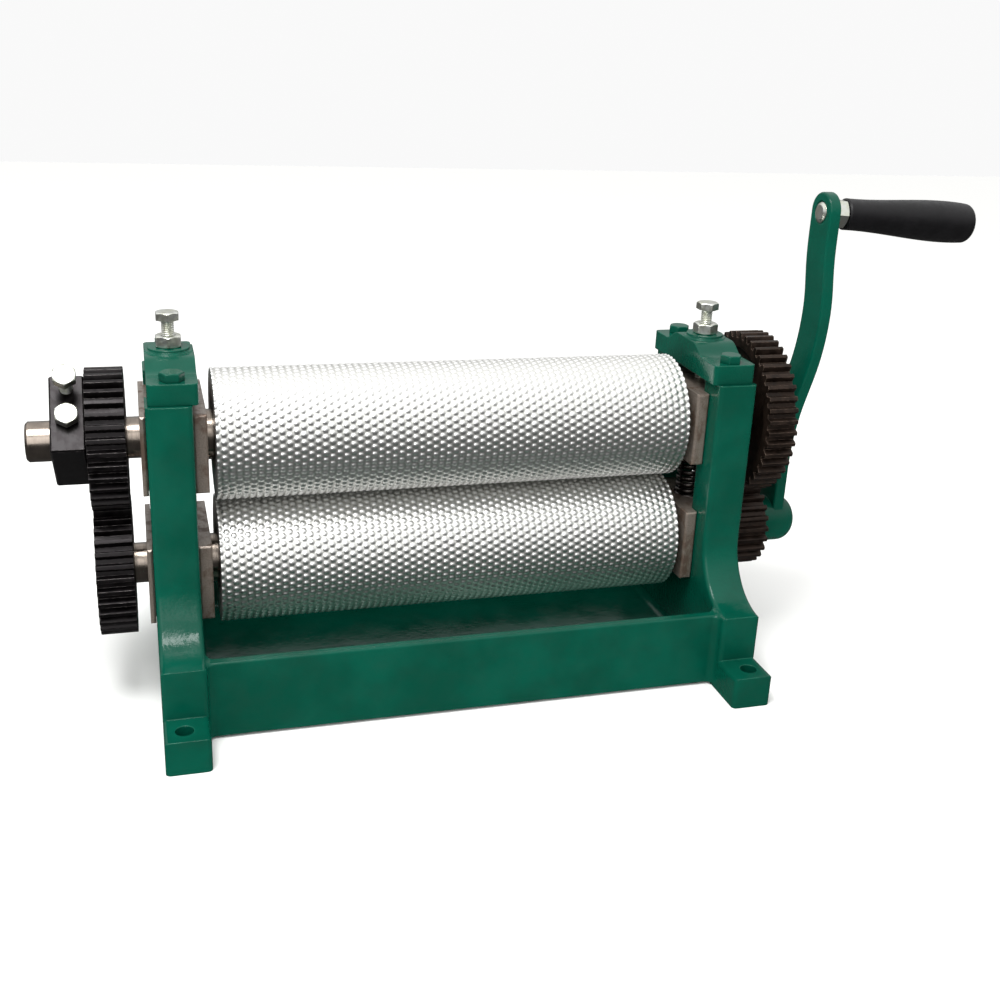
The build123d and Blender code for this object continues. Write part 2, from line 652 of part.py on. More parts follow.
# ---- Phase dog: clamped on the upper shaft, it turns the timing gear through a pin ---------------
dog_plane = section(-DOG_OUT, UPPER_Z, 90 - DOG_TILT)
along = dog_plane.y_dir
across = dog_plane.x_dir
dog_centre = Vector(-(DOG_IN + DOG_OUT) / 2, 0, UPPER_Z)


def dog_screw_plane(across_offset, along_offset, outwards):
    """Plane that a dog screw's head stands on, facing out of the dog."""
    origin = dog_centre + across * across_offset + along * along_offset
    return Plane(origin=origin, x_dir=(1, 0, 0), z_dir=along * outwards)


with BuildPart() as phase_dog:
    with BuildSketch(dog_plane):
        with Locations(((DOG_LOW + DOG_HIGH) / 2, (DOG_BACK + DOG_FACE) / 2)):
            Rectangle(DOG_HIGH - DOG_LOW, DOG_FACE - DOG_BACK)
        Circle(SEAT_D / 2, mode=Mode.SUBTRACT)
    extrude(amount=DOG_W)
    chamfer(phase_dog.edges().filter_by(GeomType.LINE), DOG_EDGE)
    with BuildSketch(section(-DOG_IN, UPPER_Z, 90 - DOG_TILT)):
        with Locations((PIN_ACROSS, PIN_ALONG)):
            Rectangle(PIN_D + 2 * END_FLOAT, 2 * POCKET_HALF)
    extrude(amount=-PIN_REACH - BOLT_PLAY, mode=Mode.SUBTRACT)
    with BuildSketch(dog_screw_plane(0, DOG_FACE, 1)):
        Circle(DOG_SCREW_D / 2 + RUN_FIT)
    extrude(amount=-DOG_FACE, mode=Mode.SUBTRACT)
    with BuildSketch(dog_screw_plane(PIN_ACROSS, DOG_FACE, 1)):
        Circle(DOG_SCREW_D / 2 + RUN_FIT)
    extrude(amount=-(DOG_FACE - DOG_BACK), mode=Mode.SUBTRACT)
phase_dog.part.label = "phase_dog"
export_step(phase_dog.part, "parts/phase_dog.step")

set_screw = bolt(
    dog_screw_plane(0, DOG_FACE + SET_SHOWING, 1),
    DOG_SCREW_D,
    DOG_FACE + SET_SHOWING - SEAT_D / 2,
    HEX_8,
)
with BuildPart() as dog_set_screw:
    add(set_screw)
dog_set_screw.part.label = "dog_set_screw"
export_step(dog_set_screw.part, "parts/dog_set_screw.step")

front_screw = bolt(
    dog_screw_plane(PIN_ACROSS, DOG_FACE + PHASE_SHOWING, 1),
    DOG_SCREW_D,
    DOG_FACE + PHASE_SHOWING - PIN_ALONG - PIN_D / 2,
    HEX_8,
)
back_screw = bolt(
    dog_screw_plane(PIN_ACROSS, DOG_BACK - PHASE_BACK_SHOWING, -1),
    DOG_SCREW_D,
    PIN_ALONG - PIN_D / 2 - DOG_BACK + PHASE_BACK_SHOWING,
    HEX_8,
)
with BuildPart() as phase_screws:
    add([front_screw, back_screw])
phase_screws.part.label = "phase_screws"
export_step(phase_screws.part, "parts/phase_screws.step")

with BuildPart() as phase_pin:
    with BuildSketch(section(-TIMING_OUT + PIN_IN_GEAR, UPPER_Z, 90 - DOG_TILT)):
        with Locations((PIN_ACROSS, PIN_ALONG)):
            Circle(PIN_D / 2)
    extrude(amount=-(PIN_IN_GEAR + END_FLOAT + PIN_REACH))
    chamfer(phase_pin.edges().sort_by(Axis.X)[0], PIN_EDGE)
phase_pin.part.label = "phase_pin"
export_step(phase_pin.part, "parts/phase_pin.step")

# ---- Crank: pinion, boss and arm turn together on the lower shaft's extension -------------------
pinion_blank = gear_blank(PINION_TEETH, GEAR_IN, PINION_W, LOWER_Z, space_up_pinion, BOSS_SPIGOT_D)
dowel_places = [(0, sign * BOSS_SPIGOT_D / 2) for sign in (-1, 1)]
with BuildPart() as crank_pinion:
    add(pinion_blank)
    with BuildSketch(section(GEAR_IN, LOWER_Z)):
        with Locations(*dowel_places):
            Circle(DOWEL_D / 2)
    extrude(amount=PINION_W / 2, mode=Mode.SUBTRACT)
crank_pinion.part.label = "crank_pinion"
export_step(crank_pinion.part, "parts/crank_pinion.step")

with BuildPart() as pinion_dowels:
    with BuildSketch(section(GEAR_IN, LOWER_Z)):
        with Locations(*dowel_places):
            Circle(DOWEL_D / 2)
    extrude(amount=PINION_W / 2)
pinion_dowels.part.label = "pinion_dowels"
export_step(pinion_dowels.part, "parts/pinion_dowels.step")

# The arm rises straight from the boss, bows outwards past the drive gear and ends upright.
arm_line = [
    (ARM_X, LOWER_Z + 0.18 * CRANK_RADIUS),
    (ARM_X + 0.30 * ARM_CREST, LOWER_Z + 0.39 * CRANK_RADIUS),
    (ARM_X + 0.78 * ARM_CREST, LOWER_Z + 0.53 * CRANK_RADIUS),
    (ARM_X + ARM_CREST, LOWER_Z + 0.73 * CRANK_RADIUS),
    (ARM_TOP_X, LOWER_Z + 0.93 * CRANK_RADIUS),
]
handle_plane = Plane(
    origin=(ARM_TOP_X, 0, HANDLE_Z),
    x_dir=(0, 1, 0),
    z_dir=(math.cos(math.radians(HANDLE_DROOP)), 0, -math.sin(math.radians(HANDLE_DROOP))),
)
seat = ARM_T / 2 - SPOT_FACE  # flat under the hexagon and under the rivet head


def arm_edge(shift):
    """Points of one face of the arm, half a thickness from its middle line."""
    return [(x + shift, z) for x, z in arm_line]


with BuildPart() as crank_boss:
    with BuildSketch(section(BOSS_IN, LOWER_Z)):
        Circle(BOSS_D / 2)
    extrude(amount=BOSS_LEN)
    fillet(crank_boss.edges().sort_by(Axis.X)[-1], BOSS_ROUND)

with BuildPart() as crank_arm:
    with BuildSketch(Plane.XZ):
        with BuildLine():
            inner = arm_edge(-ARM_T / 2)
            outer = arm_edge(ARM_T / 2)
            top = HANDLE_Z + ARM_TOP_ROUND
            Polyline((ARM_X + ARM_T / 2, LOWER_Z), (ARM_X - ARM_T / 2, LOWER_Z), inner[0])
            Spline(*inner, tangents=((0, 1), (0, 1)))
            Polyline(inner[-1], (inner[-1][0], top), (outer[-1][0], top), outer[-1])
            Spline(*outer, tangents=((0, 1), (0, 1)))
            Line(outer[0], (ARM_X + ARM_T / 2, LOWER_Z))
        make_face()
    extrude(amount=ARM_W, both=True)
    with BuildSketch(section(BOSS_IN)):
        with BuildLine():
            Polyline(
                (-ARM_W / 2, HANDLE_Z),
                (-ARM_W / 2, LOWER_Z),
                (ARM_W / 2, LOWER_Z),
                (ARM_W / 2, HANDLE_Z),
            )
            ThreePointArc((ARM_W / 2, HANDLE_Z), (0, top), (-ARM_W / 2, HANDLE_Z))
        make_face()
    extrude(amount=2 * BOSS_LEN, mode=Mode.INTERSECT)
    fillet(crank_arm.edges().filter_by(lambda edge: edge.length > 1.3 * ARM_T), ARM_EDGE)
    add(crank_boss.part)
    with BuildSketch(section(GEAR_IN, LOWER_Z)):
        Circle(BOSS_SPIGOT_D / 2)
    extrude(amount=PINION_W)
    with BuildSketch(section(GEAR_IN, LOWER_Z)):
        Circle(CRANK_BUSH_D / 2)
    extrude(amount=CRANK_BUSH_LEN, mode=Mode.SUBTRACT)
    with BuildSketch(section(GEAR_IN, LOWER_Z)):
        Circle(SPINDLE_D / 2 + END_FLOAT)
    extrude(amount=BOSS_OUT - BOSS_END_WALL - GEAR_IN, mode=Mode.SUBTRACT)
    with BuildSketch(section(GEAR_IN, LOWER_Z)):
        with Locations(*dowel_places):
            Circle(DOWEL_D / 2)
    extrude(amount=PINION_W / 2, mode=Mode.SUBTRACT)
    with BuildSketch(Plane(origin=(GROOVE_X, 0, LOWER_Z), x_dir=(1, 0, 0), z_dir=(0, 1, 0))):
        Circle(RETAINER_D / 2)
    extrude(amount=BOSS_D, mode=Mode.SUBTRACT)
    with BuildSketch(handle_plane.offset(seat)):
        Circle(SHOULDER[0] / math.sqrt(3) + SPOT_WIDER)
    extrude(amount=ARM_T, mode=Mode.SUBTRACT)
    with BuildSketch(handle_plane.offset(-seat)):
        Circle(RIVET_HEAD_D / 2 + SPOT_WIDER)
    extrude(amount=-ARM_T, mode=Mode.SUBTRACT)
    with BuildSketch(handle_plane):
        Circle(RIVET_D / 2)
    extrude(amount=ARM_T, both=True, mode=Mode.SUBTRACT)
crank_arm.part.label = "crank_arm"
export_step(crank_arm.part, "parts/crank_arm.step")

with BuildPart() as crank_bush:
    with BuildSketch(section(GEAR_IN, LOWER_Z)):
        Circle(CRANK_BUSH_D / 2)
        Circle(SPINDLE_D / 2 + RUN_FIT, mode=Mode.SUBTRACT)
    extrude(amount=CRANK_BUSH_LEN)
crank_bush.part.label = "crank_bush"
export_step(crank_bush.part, "parts/crank_bush.step")

retainer_y = SPINDLE_D / 2 + RETAINER_STANDOFF
retainer_plane = Plane(origin=(GROOVE_X, retainer_y, LOWER_Z), x_dir=(1, 0, 0), z_dir=(0, 1, 0))
with BuildPart() as crank_retaining_screw:
    with BuildSketch(retainer_plane):
        Circle(RETAINER_D / 2)
    extrude(amount=BOSS_D / 2 - RETAINER_SUNK - retainer_y)
    with BuildSketch(retainer_plane):
        Circle(RETAINER_TIP_D / 2)
    extrude(amount=TIP_OVER_GROOVE - RETAINER_STANDOFF - GROOVE_DEPTH)
crank_retaining_screw.part.label = "crank_retaining_screw"
export_step(crank_retaining_screw.part, "parts/crank_retaining_screw.step")

# ---- Handle: a riveted spindle with a hexagon shoulder, and the grip that turns on it -----------
grip_start = seat + SHOULDER[1] + END_FLOAT
pin_end = grip_start + GRIP_LEN - GRIP_WALL_END
snap_at = pin_end - SNAP_FROM_END
shoulder_hex = hexagon(handle_plane.offset(seat), *SHOULDER)
handle_axis = Axis(handle_plane.origin, handle_plane.z_dir)
with BuildPart() as handle_spindle:
    add(shoulder_hex)
    with BuildSketch(handle_plane * Plane.XZ):
        with BuildLine():
            Polyline(
                (0, -seat - RIVET_HEAD),
                (RIVET_HEAD_D / 2 - RIVET_HEAD, -seat - RIVET_HEAD),
                (RIVET_HEAD_D / 2, -seat - RIVET_HEAD / 3),
                (RIVET_HEAD_D / 2, -seat),
                (RIVET_D / 2, -seat),
                (RIVET_D / 2, seat + SHOULDER[1] / 2),
                (HANDLE_PIN_D / 2, seat + SHOULDER[1] / 2),
                (HANDLE_PIN_D / 2, snap_at),
                (SNAP_D / 2, snap_at),
                (SNAP_D / 2, snap_at + SNAP_W),
                (HANDLE_PIN_D / 2, snap_at + SNAP_W),
                (HANDLE_PIN_D / 2, pin_end - GRIP_EDGE),
                (HANDLE_PIN_D / 2 - GRIP_EDGE, pin_end),
                (0, pin_end),
                close=True,
            )
        make_face()
    revolve(axis=handle_axis)
handle_spindle.part.label = "handle_spindle"
export_step(handle_spindle.part, "parts/handle_spindle.step")

grip_end = grip_start + GRIP_LEN
bore_r = HANDLE_PIN_D / 2 + 2 * RUN_FIT
with BuildPart() as handle_grip:
    with BuildSketch(handle_plane * Plane.XZ):
        with BuildLine():
            Polyline(
                (bore_r, grip_start),
                (GRIP_INNER_D / 2 - GRIP_EDGE, grip_start),
                (GRIP_INNER_D / 2, grip_start + GRIP_EDGE),
            )
            Spline(
                (GRIP_INNER_D / 2, grip_start + GRIP_EDGE),
                (GRIP_WAIST_D / 2, grip_start + GRIP_WAIST),
                (GRIP_OUTER_D / 2, grip_end - GRIP_SWELL),
                (GRIP_OUTER_D / 2 - GRIP_EDGE / 2, grip_end - GRIP_NOSE),
            )
            Spline(
                (GRIP_OUTER_D / 2 - GRIP_EDGE / 2, grip_end - GRIP_NOSE),
                (0, grip_end),
                tangents=((-0.1, 1), (-1, 0)),
            )
            Polyline(
                (0, grip_end),
                (0, pin_end + GRIP_EDGE),
                (bore_r, pin_end + GRIP_EDGE),
                (bore_r, snap_at + SNAP_W + END_FLOAT),
                (SNAP_D / 2 + 2 * RUN_FIT, snap_at + SNAP_W + END_FLOAT),
                (SNAP_D / 2 + 2 * RUN_FIT, snap_at - END_FLOAT),
                (bore_r, snap_at - END_FLOAT),
                (bore_r, grip_start),
            )
        make_face()
    revolve(axis=handle_axis)
handle_grip.part.label = "handle_grip"
export_step(handle_grip.part, "parts/handle_grip.step")
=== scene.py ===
"""Hand-cranked foundation roller mill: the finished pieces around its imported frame, as an add-on.

Each operator makes one group of like pieces from the frame, the panel lists the operators, and the
property groups hold the sizes and colours that may be changed. Metres, in the frame's own axes:
+X along the rolls towards the crank, +Y from front to back, +Z up.
"""

import json
import math

import bmesh
import bpy
import numpy as np
from bpy.props import FloatProperty, FloatVectorProperty, PointerProperty
from mathutils import Matrix, Vector


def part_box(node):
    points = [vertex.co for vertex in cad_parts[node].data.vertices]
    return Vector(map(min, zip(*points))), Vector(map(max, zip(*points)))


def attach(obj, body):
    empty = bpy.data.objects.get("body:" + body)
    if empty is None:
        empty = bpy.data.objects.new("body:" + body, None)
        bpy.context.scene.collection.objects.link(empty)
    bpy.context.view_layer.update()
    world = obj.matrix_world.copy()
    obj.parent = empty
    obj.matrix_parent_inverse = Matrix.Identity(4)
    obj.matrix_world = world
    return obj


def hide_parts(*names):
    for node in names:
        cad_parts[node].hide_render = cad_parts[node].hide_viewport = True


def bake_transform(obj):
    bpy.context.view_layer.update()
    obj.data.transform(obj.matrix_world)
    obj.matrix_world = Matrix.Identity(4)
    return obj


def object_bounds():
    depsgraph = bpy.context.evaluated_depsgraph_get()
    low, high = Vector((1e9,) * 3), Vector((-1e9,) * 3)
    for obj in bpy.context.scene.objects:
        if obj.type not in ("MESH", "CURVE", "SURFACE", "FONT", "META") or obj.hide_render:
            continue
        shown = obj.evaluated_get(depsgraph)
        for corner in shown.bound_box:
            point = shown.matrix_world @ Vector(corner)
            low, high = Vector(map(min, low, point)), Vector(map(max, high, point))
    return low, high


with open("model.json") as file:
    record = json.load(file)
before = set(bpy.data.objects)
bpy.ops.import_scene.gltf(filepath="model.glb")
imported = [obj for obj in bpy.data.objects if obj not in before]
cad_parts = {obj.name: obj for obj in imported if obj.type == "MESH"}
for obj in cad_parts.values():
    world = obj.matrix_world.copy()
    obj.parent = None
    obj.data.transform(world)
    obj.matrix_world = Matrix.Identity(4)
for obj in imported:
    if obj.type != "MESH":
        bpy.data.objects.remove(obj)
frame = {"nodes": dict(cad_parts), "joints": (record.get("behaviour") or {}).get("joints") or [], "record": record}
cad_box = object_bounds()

bl_info = {
    "name": "Foundation Roller Mill",
    "version": (1, 0, 0),
    "blender": (4, 5, 0),
    "location": "3D View > Sidebar > Mill",
    "description": "Makes the finished pieces of a hand-cranked foundation roller mill",
    "category": "Object",
}

MM = 0.001
TAU = 2 * math.pi
SIDES = ("left", "right")
LEVELS = ("lower", "upper")
SCREW_SIDES = 48  # points round a screw or a nut
THREAD_DEPTH = 0.54  # of the pitch
TURNED_FACE = 0.475  # radius of a hexagon's turned face, of its flats
SCREW_CREASE = math.radians(35)
STUD_CREASE = math.radians(60)
END_RECESS = 2 * MM  # depth of the recess in each end of a roll
RECESS_LIP = 8 * MM  # from the bore to the recess's outer rim
RECESS_FLOOR = 6 * MM  # and to its flat floor
# A paler band on the trough's floor, full at the front and thinning out to the back: dried wax dust, and also
# painted light, the lit front of the floor against its shaded back under the roll.
DUST_AND_LIGHT_ABOVE = (0.008, 0.0095)  # heights where the dust starts, on the trough's floor
DUST_AND_LIGHT_BELOW = (0.022, 0.0105)  # and over which it thins out upwards
DUST_AND_LIGHT_FRONT = (-0.0795, -0.0785)  # its front edge, at the trough's front wall
DUST_AND_LIGHT_BACK = (0.01, -0.05)  # and where it thins out to the back
DUST_AND_LIGHT_ENDS = (0.168, 0.160)  # and towards both ends
KEY_PLACE, KEY_SIZE = (-0.35, -0.35, 1.25), 0.5
FILL_PLACE, FILL_SIZE = (-0.7, -1.5, 0.95), 1.3
joint_places = {joint["name"]: joint.get("pos_m") for joint in frame["joints"]}
slot_of = {row["node"]: row["material_slot"] for row in frame["record"]["subparts"]}
body_of = {node: body for body, nodes in frame["record"]["behaviour"]["bodies"].items() for node in nodes}


# ---- Sizes and colours --------------------------------------------------------------------------


def linear(colour):
    """Scene-linear red, green and blue of an sRGB hex colour such as "#0A6E57"."""
    srgb = np.array([int(colour[k : k + 2], 16) for k in (1, 3, 5)]) / 255
    return np.where(srgb <= 0.04045, srgb / 12.92, ((srgb + 0.055) / 1.055) ** 2.4).tolist()


def length(name, description, millimetres):
    """A length property whose default is given in millimetres."""
    return FloatProperty(
        name=name, description=description, default=millimetres * MM, min=0, unit="LENGTH", precision=5
    )


def tint(name, description, colour):
    """A colour property whose default is an sRGB hex colour."""
    return FloatVectorProperty(
        name=name, description=description, default=linear(colour), subtype="COLOR", size=3, min=0, max=1
    )


class MillEmbossing(bpy.types.PropertyGroup):
    """Cells of the two rolls."""

    pitch: length("Cell pitch", "Distance between neighbouring cells", 5.04)
    depth: length("Stud height", "From the groove floor to the stud's rim", 0.55)
    groove: length("Groove width", "Flat floor between two studs", 1.1)
    slope: length("Stud side", "How far a stud's side leans in", 0.6)
    crown: length("Crown", "How far a stud's middle stands above its rim", 0.35)
    bore: length("Bore", "Diameter of the roll's bore, for its shaft", 32.0)
    metal: tint("Aluminium", "Bright stud tops", "#F4F4F2")
    # Darker colour in the grooves between the studs: painted shade in the recesses.
    groove_metal_painted_shade: tint("Groove", "Duller metal between the studs", "#DCDCD8")


class MillFasteners(bpy.types.PropertyGroup):
    """Hexagon screws and nuts."""

    adjusting_flats: length("Adjusting flats", "Across flats of the adjusting screws", 13.5)
    adjusting_head: length("Adjusting head", "Height of an adjusting screw's head", 5.2)
    lock_nut_flats: length("Lock nut flats", "Across flats of the lock nuts", 15.0)
    small_flats: length("Small flats", "Across flats of the 8 mm screws", 13.0)
    small_head: length("Small head", "Head height of the 8 mm screws", 5.5)
    thread: length("Thread", "Thread diameter of all the screws", 8.0)
    pitch: length("Pitch", "Coarse pitch of that thread", 1.25)
    zinc: tint("Zinc", "Bright zinc plate", "#DDDFDA")
    chromate: tint("Passivation", "Yellow-green cast of the passivated plate", "#C9CAAE")


class MillSprings(bpy.types.PropertyGroup):
    """Coil springs between the bearing blocks."""

    wire: length("Wire", "Diameter of the spring wire", 2.8)
    turns: FloatProperty(name="Turns", description="Coils from end to end", default=9.5, min=3, max=30)
    steel: tint("Wire colour", "Oiled spring steel", "#5A5653")


class MillFinishes(bpy.types.PropertyGroup):
    """Colours of the paint, the iron and the steel."""

    enamel: tint("Enamel", "Green gloss enamel", "#034C3C")
    enamel_deep: tint("Deep enamel", "Thicker, darker passages of the enamel", "#024334")
    # Paler edge colour: thinner paint on the edges, and also a painted highlight along them.
    enamel_edge_and_highlight: tint("Enamel edge", "Thin, paler paint on the edges", "#2B8069")
    # Paler colour of the trough's floor: dried wax dust, and painted light on the floor's lit front.
    dust_and_light: tint("Dust", "Dried wax dust on the trough's floor", "#6F8A7E")
    ground: tint("Ground iron", "Ground faces of the bearing blocks", "#94897F")
    stain: tint("Stain", "Oil stains on ground iron", "#5E4636")
    turned: tint("Turned steel", "Bright turned shafts", "#978C82")
    black: tint("Black oxide", "Blackened steel of the timing gears", "#171415")
    # Pale colour painted along the black teeth's edges as a highlight.
    tooth_edge_highlight: tint("Worn steel", "Steel that shows through at the teeth's edges", "#8F8A88")
    oiled: tint("Oiled iron", "Brown oiled iron of the crank gears", "#2A1F18")
    # Pale colour painted along the oiled teeth's edges as a highlight.
    oiled_edge_highlight: tint("Oiled edge", "Paler edges of the oiled teeth", "#8A7768")
    bronze: tint("Bronze", "Bearing bronze", "#B08A4E")
    grip: tint("Grip", "Black plastic of the handle", "#0D0C0E")


class MillStudio(bpy.types.PropertyGroup):
    """Camera, floor and light."""

    eye: FloatVectorProperty(
        name="Camera", description="Where the camera stands", default=(-0.19558, -0.75788, 0.41958),
        subtype="TRANSLATION", size=3,
    )
    heading: FloatProperty(
        name="Heading", description="Turned from +Y towards +X", default=math.radians(17.417), subtype="ANGLE"
    )
    dip: FloatProperty(
        name="Dip", description="Turned below the horizon", default=math.radians(20.236), subtype="ANGLE"
    )
    tilt: FloatProperty(
        name="Tilt", description="Turned about the view's own axis", default=math.radians(2.836), subtype="ANGLE"
    )
    lens: FloatProperty(name="Lens", description="Focal length in millimetres", default=44.216, min=1)
    shift: FloatVectorProperty(
        name="Shift", description="Camera shift, as shares of the picture", default=(-0.0084, -0.0212), size=2
    )
    floor_width: length("Floor width", "Side of the square floor", 6000.0)
    floor: tint("Floor", "Plain pale floor", "#FAFAF8")
    backdrop: FloatProperty(name="Backdrop", description="Brightness of the white backdrop", default=0.95, min=0)
    zenith: FloatProperty(name="Zenith", description="Strength of the light from overhead", default=1.25, min=0)
    below: FloatProperty(name="Below", description="Strength of the light from below", default=0.1, min=0)
    key: FloatProperty(name="Key", description="Power of the overhead softbox in watts", default=12.0, min=0)
    fill: FloatProperty(name="Fill", description="Power of the front softbox in watts", default=9.0, min=0)


# ---- Materials ----------------------------------------------------------------------------------


def add(tree, kind, inputs=None, **settings):
    """Adds a node with its settings; each input is linked if it is given a socket, and set if not."""
    node = tree.nodes.new(kind)
    for name, value in settings.items():
        setattr(node, name, value)
    for key, value in (inputs or {}).items():
        if isinstance(value, bpy.types.NodeSocket):
            tree.links.new(value, node.inputs[key])
        else:
            node.inputs[key].default_value = value
    return node


def new_material(name, **values):
    """Material whose shader has these values on its own sockets, with its tree and shader."""
    material = bpy.data.materials.new(name)
    material.use_nodes = True
    tree = material.node_tree
    shader = tree.nodes["Principled BSDF"]
    for key, value in values.items():
        shader.inputs[key.replace("_", " ")].default_value = value
    return material, tree, shader


def place_of(tree, centre=(0, 0, 0), stretch=(1, 1, 1)):
    """Object coordinates about a centre, with each axis scaled, in metres."""
    coordinates = add(tree, "ShaderNodeTexCoord").outputs["Object"]
    moved = add(
        tree, "ShaderNodeVectorMath", {0: coordinates, 1: centre}, operation="SUBTRACT"
    ).outputs["Vector"]
    return add(
        tree, "ShaderNodeVectorMath", {0: moved, 1: stretch}, operation="MULTIPLY"
    ).outputs["Vector"]


def noise(tree, place, grain, detail=2.0, roughness=0.5):
    """Noise from 0 to 1 with features of about the given grain in millimetres."""
    return add(
        tree,
        "ShaderNodeTexNoise",
        {"Vector": place, "Scale": 1 / (grain * MM), "Detail": detail, "Roughness": roughness},
    ).outputs["Fac"]


def between(tree, value, low, high, to_low=0.0, to_high=1.0):
    """Value carried from the range low..high to another, and held inside it."""
    return add(
        tree,
        "ShaderNodeMapRange",
        {"Value": value, "From Min": low, "From Max": high, "To Min": to_low, "To Max": to_high},
        interpolation_type="SMOOTHSTEP",
    ).outputs["Result"]


def mixed(tree, share, first, second):
    """Colour from the first to the second by a share; each is a colour or a socket."""
    node = add(tree, "ShaderNodeMix", {"Factor": share}, data_type="RGBA")
    for name, value in (("A", first), ("B", second)):
        socket = next(s for s in node.inputs if s.name == name and s.type == "RGBA")
        if isinstance(value, bpy.types.NodeSocket):
            tree.links.new(value, socket)
        else:
            socket.default_value = (*value, 1)
    return next(s for s in node.outputs if s.type == "RGBA")


def combined(tree, first, second, operation="MULTIPLY"):
    """Two values joined by an operation of the Math node, which is multiplication if not named."""
    return add(tree, "ShaderNodeMath", {0: first, 1: second}, operation=operation).outputs["Value"]


def bumped(tree, height, depth, under=None):
    """Normal of a height field from 0 to 1 that is depth millimetres deep, over another normal."""
    inputs = {"Height": height, "Distance": depth * MM, "Strength": 1.0}
    if under is not None:
        inputs["Normal"] = under
    return add(tree, "ShaderNodeBump", inputs).outputs["Normal"]


def edges_of(tree, reach):
    """Share from 0 to 1 of a rounded edge: how far a normal rounded over reach millimetres turns."""
    rounded = add(tree, "ShaderNodeBevel", {"Radius": reach * MM}, samples=6).outputs["Normal"]
    straight = add(tree, "ShaderNodeNewGeometry").outputs["Normal"]
    same = add(tree, "ShaderNodeVectorMath", {0: rounded, 1: straight}, operation="DOT_PRODUCT")
    return between(tree, same.outputs["Value"], 0.995, 0.86), rounded


def gloss_enamel(finishes):
    """Alkyd enamel over a grey-iron casting: wet-looking green whose broken highlights show the cast skin."""
    material, tree, shader = new_material("gloss_enamel_on_cast_iron", IOR=1.5, Specular_IOR_Level=0.22)
    place = place_of(tree)
    broad = between(tree, noise(tree, place, 45, 3), 0.35, 0.65)
    body = mixed(tree, broad, finishes.enamel_deep, finishes.enamel)
    edge, rounded = edges_of(tree, 1.2)
    patchy = between(tree, noise(tree, place, 9, 3), 0.38, 0.62)
    # Paler colour along every edge: thinner paint there, and a painted highlight standing in for the light the
    # edges catch.
    body = mixed(tree, combined(tree, combined(tree, edge, patchy), 0.4), body, finishes.enamel_edge_and_highlight)
    axes = add(tree, "ShaderNodeSeparateXYZ", {"Vector": place})
    low = between(tree, axes.outputs["Z"], *DUST_AND_LIGHT_BELOW)
    front = between(tree, axes.outputs["Y"], *DUST_AND_LIGHT_BACK)
    off_front = between(tree, axes.outputs["Y"], *DUST_AND_LIGHT_FRONT)
    sideways = add(tree, "ShaderNodeMath", {0: axes.outputs["X"]}, operation="ABSOLUTE").outputs["Value"]
    inside = between(tree, sideways, *DUST_AND_LIGHT_ENDS)
    above = between(tree, axes.outputs["Z"], *DUST_AND_LIGHT_ABOVE)
    dust_and_light_patches = between(tree, noise(tree, place_of(tree, stretch=(0.35, 1, 1)), 16, 5, 0.62), 0.42, 0.62)
    # Paler band on the trough's floor, fading towards the back: dust, and painted light where the front of the
    # floor is lit.
    dust_and_light = low
    for share in (front, off_front, inside, above, dust_and_light_patches, 0.75):
        dust_and_light = combined(tree, dust_and_light, share)
    body = mixed(tree, dust_and_light, body, finishes.dust_and_light)
    tree.links.new(body, shader.inputs["Base Color"])
    sheen = between(tree, noise(tree, place, 14, 3), 0.3, 0.7, 0.13, 0.24)
    tree.links.new(combined(tree, sheen, combined(tree, dust_and_light, 0.35), "ADD"), shader.inputs["Roughness"])
    normal = bumped(tree, noise(tree, place, 14, 2), 0.3, rounded)
    normal = bumped(tree, noise(tree, place, 2.2, 3), 0.13, normal)
    tree.links.new(normal, shader.inputs["Normal"])
    return material


def embossed_aluminium(name, axis_height, radius, embossing):
    """Engraved aluminium roll: bright stud tops over grooves painted slightly darker as shade, and rougher."""
    material, tree, shader = new_material(name, Metallic=1.0)
    place = place_of(tree, centre=(0, 0, axis_height), stretch=(0, 1, 1))
    reach = add(tree, "ShaderNodeVectorMath", {0: place}, operation="LENGTH").outputs["Value"]
    floor = radius - embossing.depth - embossing.crown
    top = between(tree, reach, floor + 0.1 * embossing.depth, radius - embossing.crown)
    # Grooves darker than the stud tops: painted shade down in the recesses.
    tree.links.new(mixed(tree, top, embossing.groove_metal_painted_shade, embossing.metal), shader.inputs["Base Color"])
    fine = noise(tree, place_of(tree), 1.2, 2)
    rough = add(
        tree,
        "ShaderNodeMapRange",
        {"Value": top, "From Min": 0, "From Max": 1, "To Min": 0.42, "To Max": 0.32},
    ).outputs["Result"]
    tree.links.new(rough, shader.inputs["Roughness"])
    tree.links.new(bumped(tree, fine, 0.012), shader.inputs["Normal"])
    return material


def turned_steel(name, colour, sheen, axis_place=(0, 0, 0), ring=0.7):
    """Turned mild steel: fine rings square to the axis stretch the highlight along it.

    The real feed marks are 0.1 to 0.2 mm apart, too fine to show, and are drawn coarser.
    """
    material, tree, shader = new_material(name, Metallic=1.0)
    along = place_of(tree, axis_place, stretch=(1, 0.02, 0.02))
    rings = noise(tree, along, ring, 3, 0.6)
    cloud = between(tree, noise(tree, place_of(tree), 7, 3), 0.3, 0.7)
    darker = [0.72 * channel for channel in colour]
    tree.links.new(mixed(tree, cloud, darker, colour), shader.inputs["Base Color"])
    tree.links.new(between(tree, rings, 0.3, 0.7, sheen * 0.75, sheen * 1.35), shader.inputs["Roughness"])
    _, rounded = edges_of(tree, 0.4)
    tree.links.new(bumped(tree, rings, 0.02, rounded), shader.inputs["Normal"])
    return material


